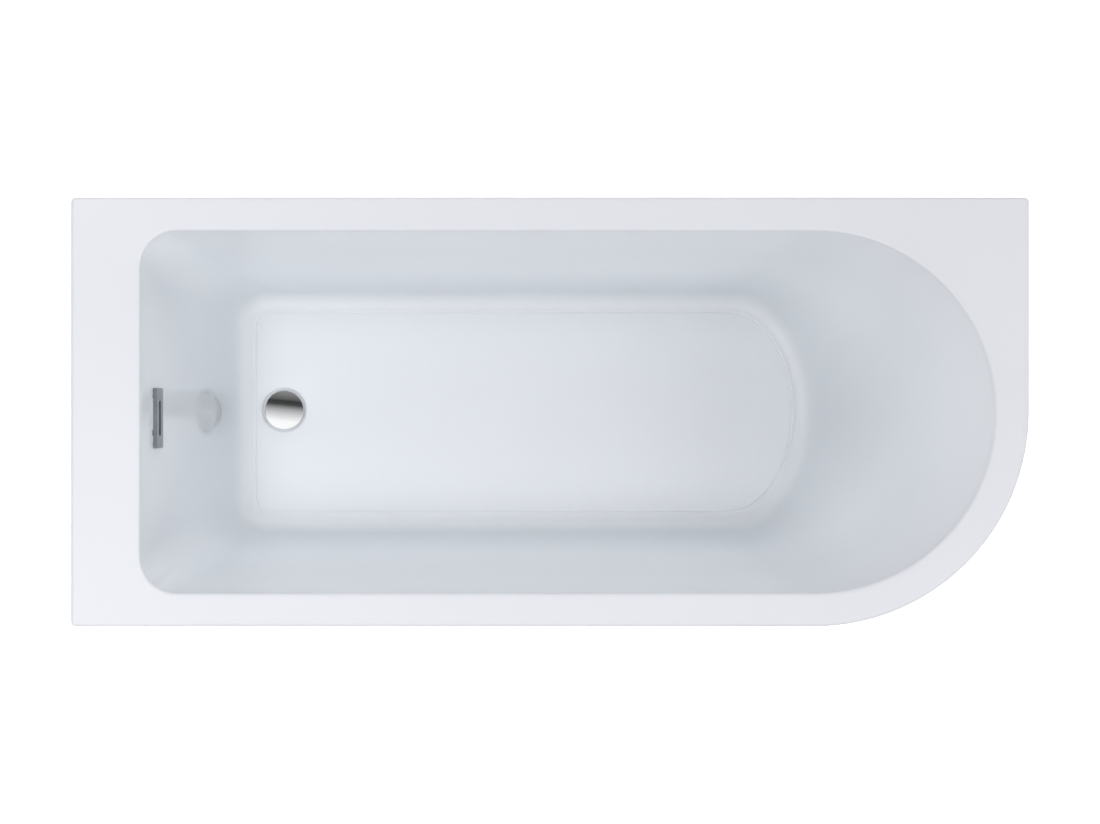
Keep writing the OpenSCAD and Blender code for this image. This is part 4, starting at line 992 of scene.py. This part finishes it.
# Card that only reflections see: its span, its height over the rim, and (place across it, level) in bands
CARD_Y = (-3.0, 5.0)
CARD_L, CARD_OVER_RIM, CARD_TURN, CARD_STRENGTH = 9.0, 3.2, -6, 1.22
CARD_BANDS = ((-3.0, 1.0), (-0.7, 0.9), (-0.1, 0.4), (0.2, 0.06), (0.4, 0.03), (0.5, 0.1), (1.0, 0.25),
              (5.0, 0.25))


def glow_material(name, strength, bands):
    """Light of a studio card, in bands across it."""
    material = bpy.data.materials.new(name)
    tree = bare_nodes(material)
    across = split(tree, node(tree, "TexCoord").outputs["Generated"])["Y"]
    glow = node(tree, "Emission", [("Color", grey_ramp(tree, across, bands, "LINEAR")), ("Strength", strength)])
    node(tree, "OutputMaterial", [("Surface", glow.outputs[0])])
    return material


def seen_directly(tree):
    """1 where the camera, a reflection or glass sees a surface, and 0 for its light on other things."""
    rays = node(tree, "LightPath").outputs
    seen = maths(tree, "MAXIMUM", rays["Is Camera Ray"], rays["Is Glossy Ray"])
    return maths(tree, "MAXIMUM", seen, rays["Is Transmission Ray"])


def studio_plane(name, size, place, turn, material):
    mesh = bpy.data.meshes.new(name)
    x, y = size[0] / 2, size[1] / 2
    mesh.from_pydata([(-x, -y, 0), (x, -y, 0), (x, y, 0), (-x, y, 0)], [], [(0, 1, 2, 3)])
    mesh.materials.append(material)
    plane = bpy.data.objects.new(name, mesh)
    plane.location, plane.rotation_euler = place, turn
    bpy.context.scene.collection.objects.link(plane)
    return plane


def only_in_reflections(plane):
    plane.visible_camera = plane.visible_diffuse = plane.visible_shadow = False
    plane.visible_transmission = plane.visible_volume_scatter = False


def lamp(name, place, aim, size, power):
    data = bpy.data.lights.new(name, "AREA")
    data.shape, data.size, data.size_y = "RECTANGLE", size[0], size[1]
    data.energy = power
    made = bpy.data.objects.new(name, data)
    made.location = place
    made.rotation_euler = (Vector(aim) - Vector(place)).to_track_quat("-Z", "Y").to_euler()
    made.visible_camera = made.visible_glossy = False
    bpy.context.scene.collection.objects.link(made)


# Lamps: name, place with its height over the rim, aim, size and power in watts
LAMPS = (
    ("over_waste_front", (-1.5, -1.1, 2.4), (-1.2, -0.88, 0.0), (0.9, 0.9), 28.0),
    ("over_waste_end", (-1.5, 0.0, 2.4), (-1.2, 0.0, 0.0), (0.9, 0.9), 2.0),
    ("over_waste_back", (-1.5, 1.1, 2.4), (-1.2, 0.88, 0.0), (0.9, 0.9), 22.0),
    ("over_free_corner", (1.5, -1.1, 2.4), (1.2, -0.88, 0.0), (0.9, 0.9), 8.0),
    ("over_backrest", (1.5, 0.0, 2.4), (1.2, 0.0, 0.0), (0.9, 0.9), 6.0),
    ("beside_backrest", (3.4, 0.0, 1.7), (0.0, 0.0, 0.3), (1.6, 1.2), 36.0),
    ("beside_wall", (0.0, 2.8, 1.7), (0.0, 0.0, 0.3), (2.4, 1.2), 30.0),
    ("beside_front", (0.0, -2.8, 1.7), (0.0, 0.0, 0.3), (2.4, 1.2), 26.0),
)


FLOOR_GLOW = 0.62
SKY_TINT = (0.985, 0.99, 1.0, 1)


class BATH_OT_studio(Operator):
    """Set the floor, the soft light and the camera over the bath"""
    bl_idname = "bath.studio"
    bl_label = "Studio"

    def execute(self, context):
        scene = context.scene
        s = scene.bath_studio
        self.floor()
        self.sky(scene, s)
        for name, (x, y, over_rim), aim, size, power in LAMPS:
            lamp(name, (x, y, RIM_Z + over_rim), aim, size, power * s.lamps)
        low, high = CARD_Y
        bands = [((y - low) / (high - low), level) for y, level in CARD_BANDS]
        card = studio_plane("overhead_card", (CARD_L, high - low), (0, (low + high) / 2, RIM_Z + CARD_OVER_RIM),
                            (0, 0, math.radians(CARD_TURN)), glow_material("card bands", CARD_STRENGTH, bands))
        only_in_reflections(card)
        self.camera(scene, s)
        scene.view_settings.view_transform = "Standard"
        return {"FINISHED"}

    def floor(self):
        """Pale floor that shows white where nothing shades it and keeps the bath's shadow."""
        material, tree, shader = new_material("studio floor")
        shader.inputs["Base Color"].default_value = GREY
        shader.inputs["Roughness"].default_value = 0.9
        shader.inputs["Specular IOR Level"].default_value = 0.1
        strength = maths(tree, "MULTIPLY", seen_directly(tree), FLOOR_GLOW)
        glow = node(tree, "Emission", [("Color", (1, 1, 1, 1)), ("Strength", strength)])
        both = node(tree, "AddShader", [(0, shader.outputs[0]), (1, glow.outputs[0])])
        out = next(n for n in tree.nodes if n.type == "OUTPUT_MATERIAL")
        tree.links.new(both.outputs[0], out.inputs["Surface"])
        studio_plane("studio_floor", (40, 40), (0, 0, 0), (0, 0, 0), material)

    def sky(self, scene, s):
        """Soft light from all round, white where the camera or a reflection sees it."""
        world = bpy.data.worlds.new("studio")
        tree = bare_nodes(world)
        seen = seen_directly(tree)
        tint = blended(tree, seen, SKY_TINT, (1, 1, 1, 1))
        level = node(tree, "Mix", [(0, seen), (2, s.sky), (3, 1.0)])
        back = node(tree, "Background", [("Color", tint), ("Strength", level.outputs[0])])
        node(tree, "OutputWorld", [("Surface", back.outputs[0])])
        scene.world = world

    def camera(self, scene, s):
        """Straight down over the middle of the bath, as in the photograph."""
        data = bpy.data.cameras.new("camera")
        data.sensor_fit, data.sensor_width = "HORIZONTAL", 36.0
        data.lens = s.bath_px / (2 * HALF_L) * s.camera_h / s.picture_w * data.sensor_width
        data.clip_end = 100.0
        made = bpy.data.objects.new("camera", data)
        made.location = (0, 0, RIM_Z + s.camera_h)
        scene.collection.objects.link(made)
        scene.camera = made


class BATH_PT_panel(Panel):
    """Sizes, colours and steps of the bath"""
    bl_idname = "BATH_PT_panel"
    bl_label = "Corner bath"
    bl_space_type = "VIEW_3D"
    bl_region_type = "UI"
    bl_category = "Bath"

    def draw(self, context):
        layout = self.layout
        for group in (context.scene.bath_sizes, context.scene.bath_colours, context.scene.bath_studio):
            box = layout.box()
            for key in group.__annotations__:
                box.prop(group, key)
        for step in STEPS:
            layout.operator(step.bl_idname)


SETTINGS = (("bath_sizes", BathSizes), ("bath_colours", BathColours), ("bath_studio", StudioSettings))
STEPS = (BATH_OT_shell, BATH_OT_backing, BATH_OT_panel, BATH_OT_woodwork, BATH_OT_legs, BATH_OT_waste,
         BATH_OT_overflow, BATH_OT_studio)


def register():
    for key, group in SETTINGS:
        bpy.utils.register_class(group)
        setattr(bpy.types.Scene, key, PointerProperty(type=group))
    for step in STEPS:
        bpy.utils.register_class(step)
    bpy.utils.register_class(BATH_PT_panel)


def unregister():
    bpy.utils.unregister_class(BATH_PT_panel)
    for step in reversed(STEPS):
        bpy.utils.unregister_class(step)
    for key, group in reversed(SETTINGS):
        delattr(bpy.types.Scene, key)
        bpy.utils.unregister_class(group)


def main():
    register()
    bpy.ops.bath.shell()
    bpy.ops.bath.backing()
    bpy.ops.bath.panel()
    bpy.ops.bath.woodwork()
    bpy.ops.bath.legs()
    bpy.ops.bath.waste()
    bpy.ops.bath.overflow()
    bpy.ops.bath.studio()


if __name__ == "__main__":
    main()
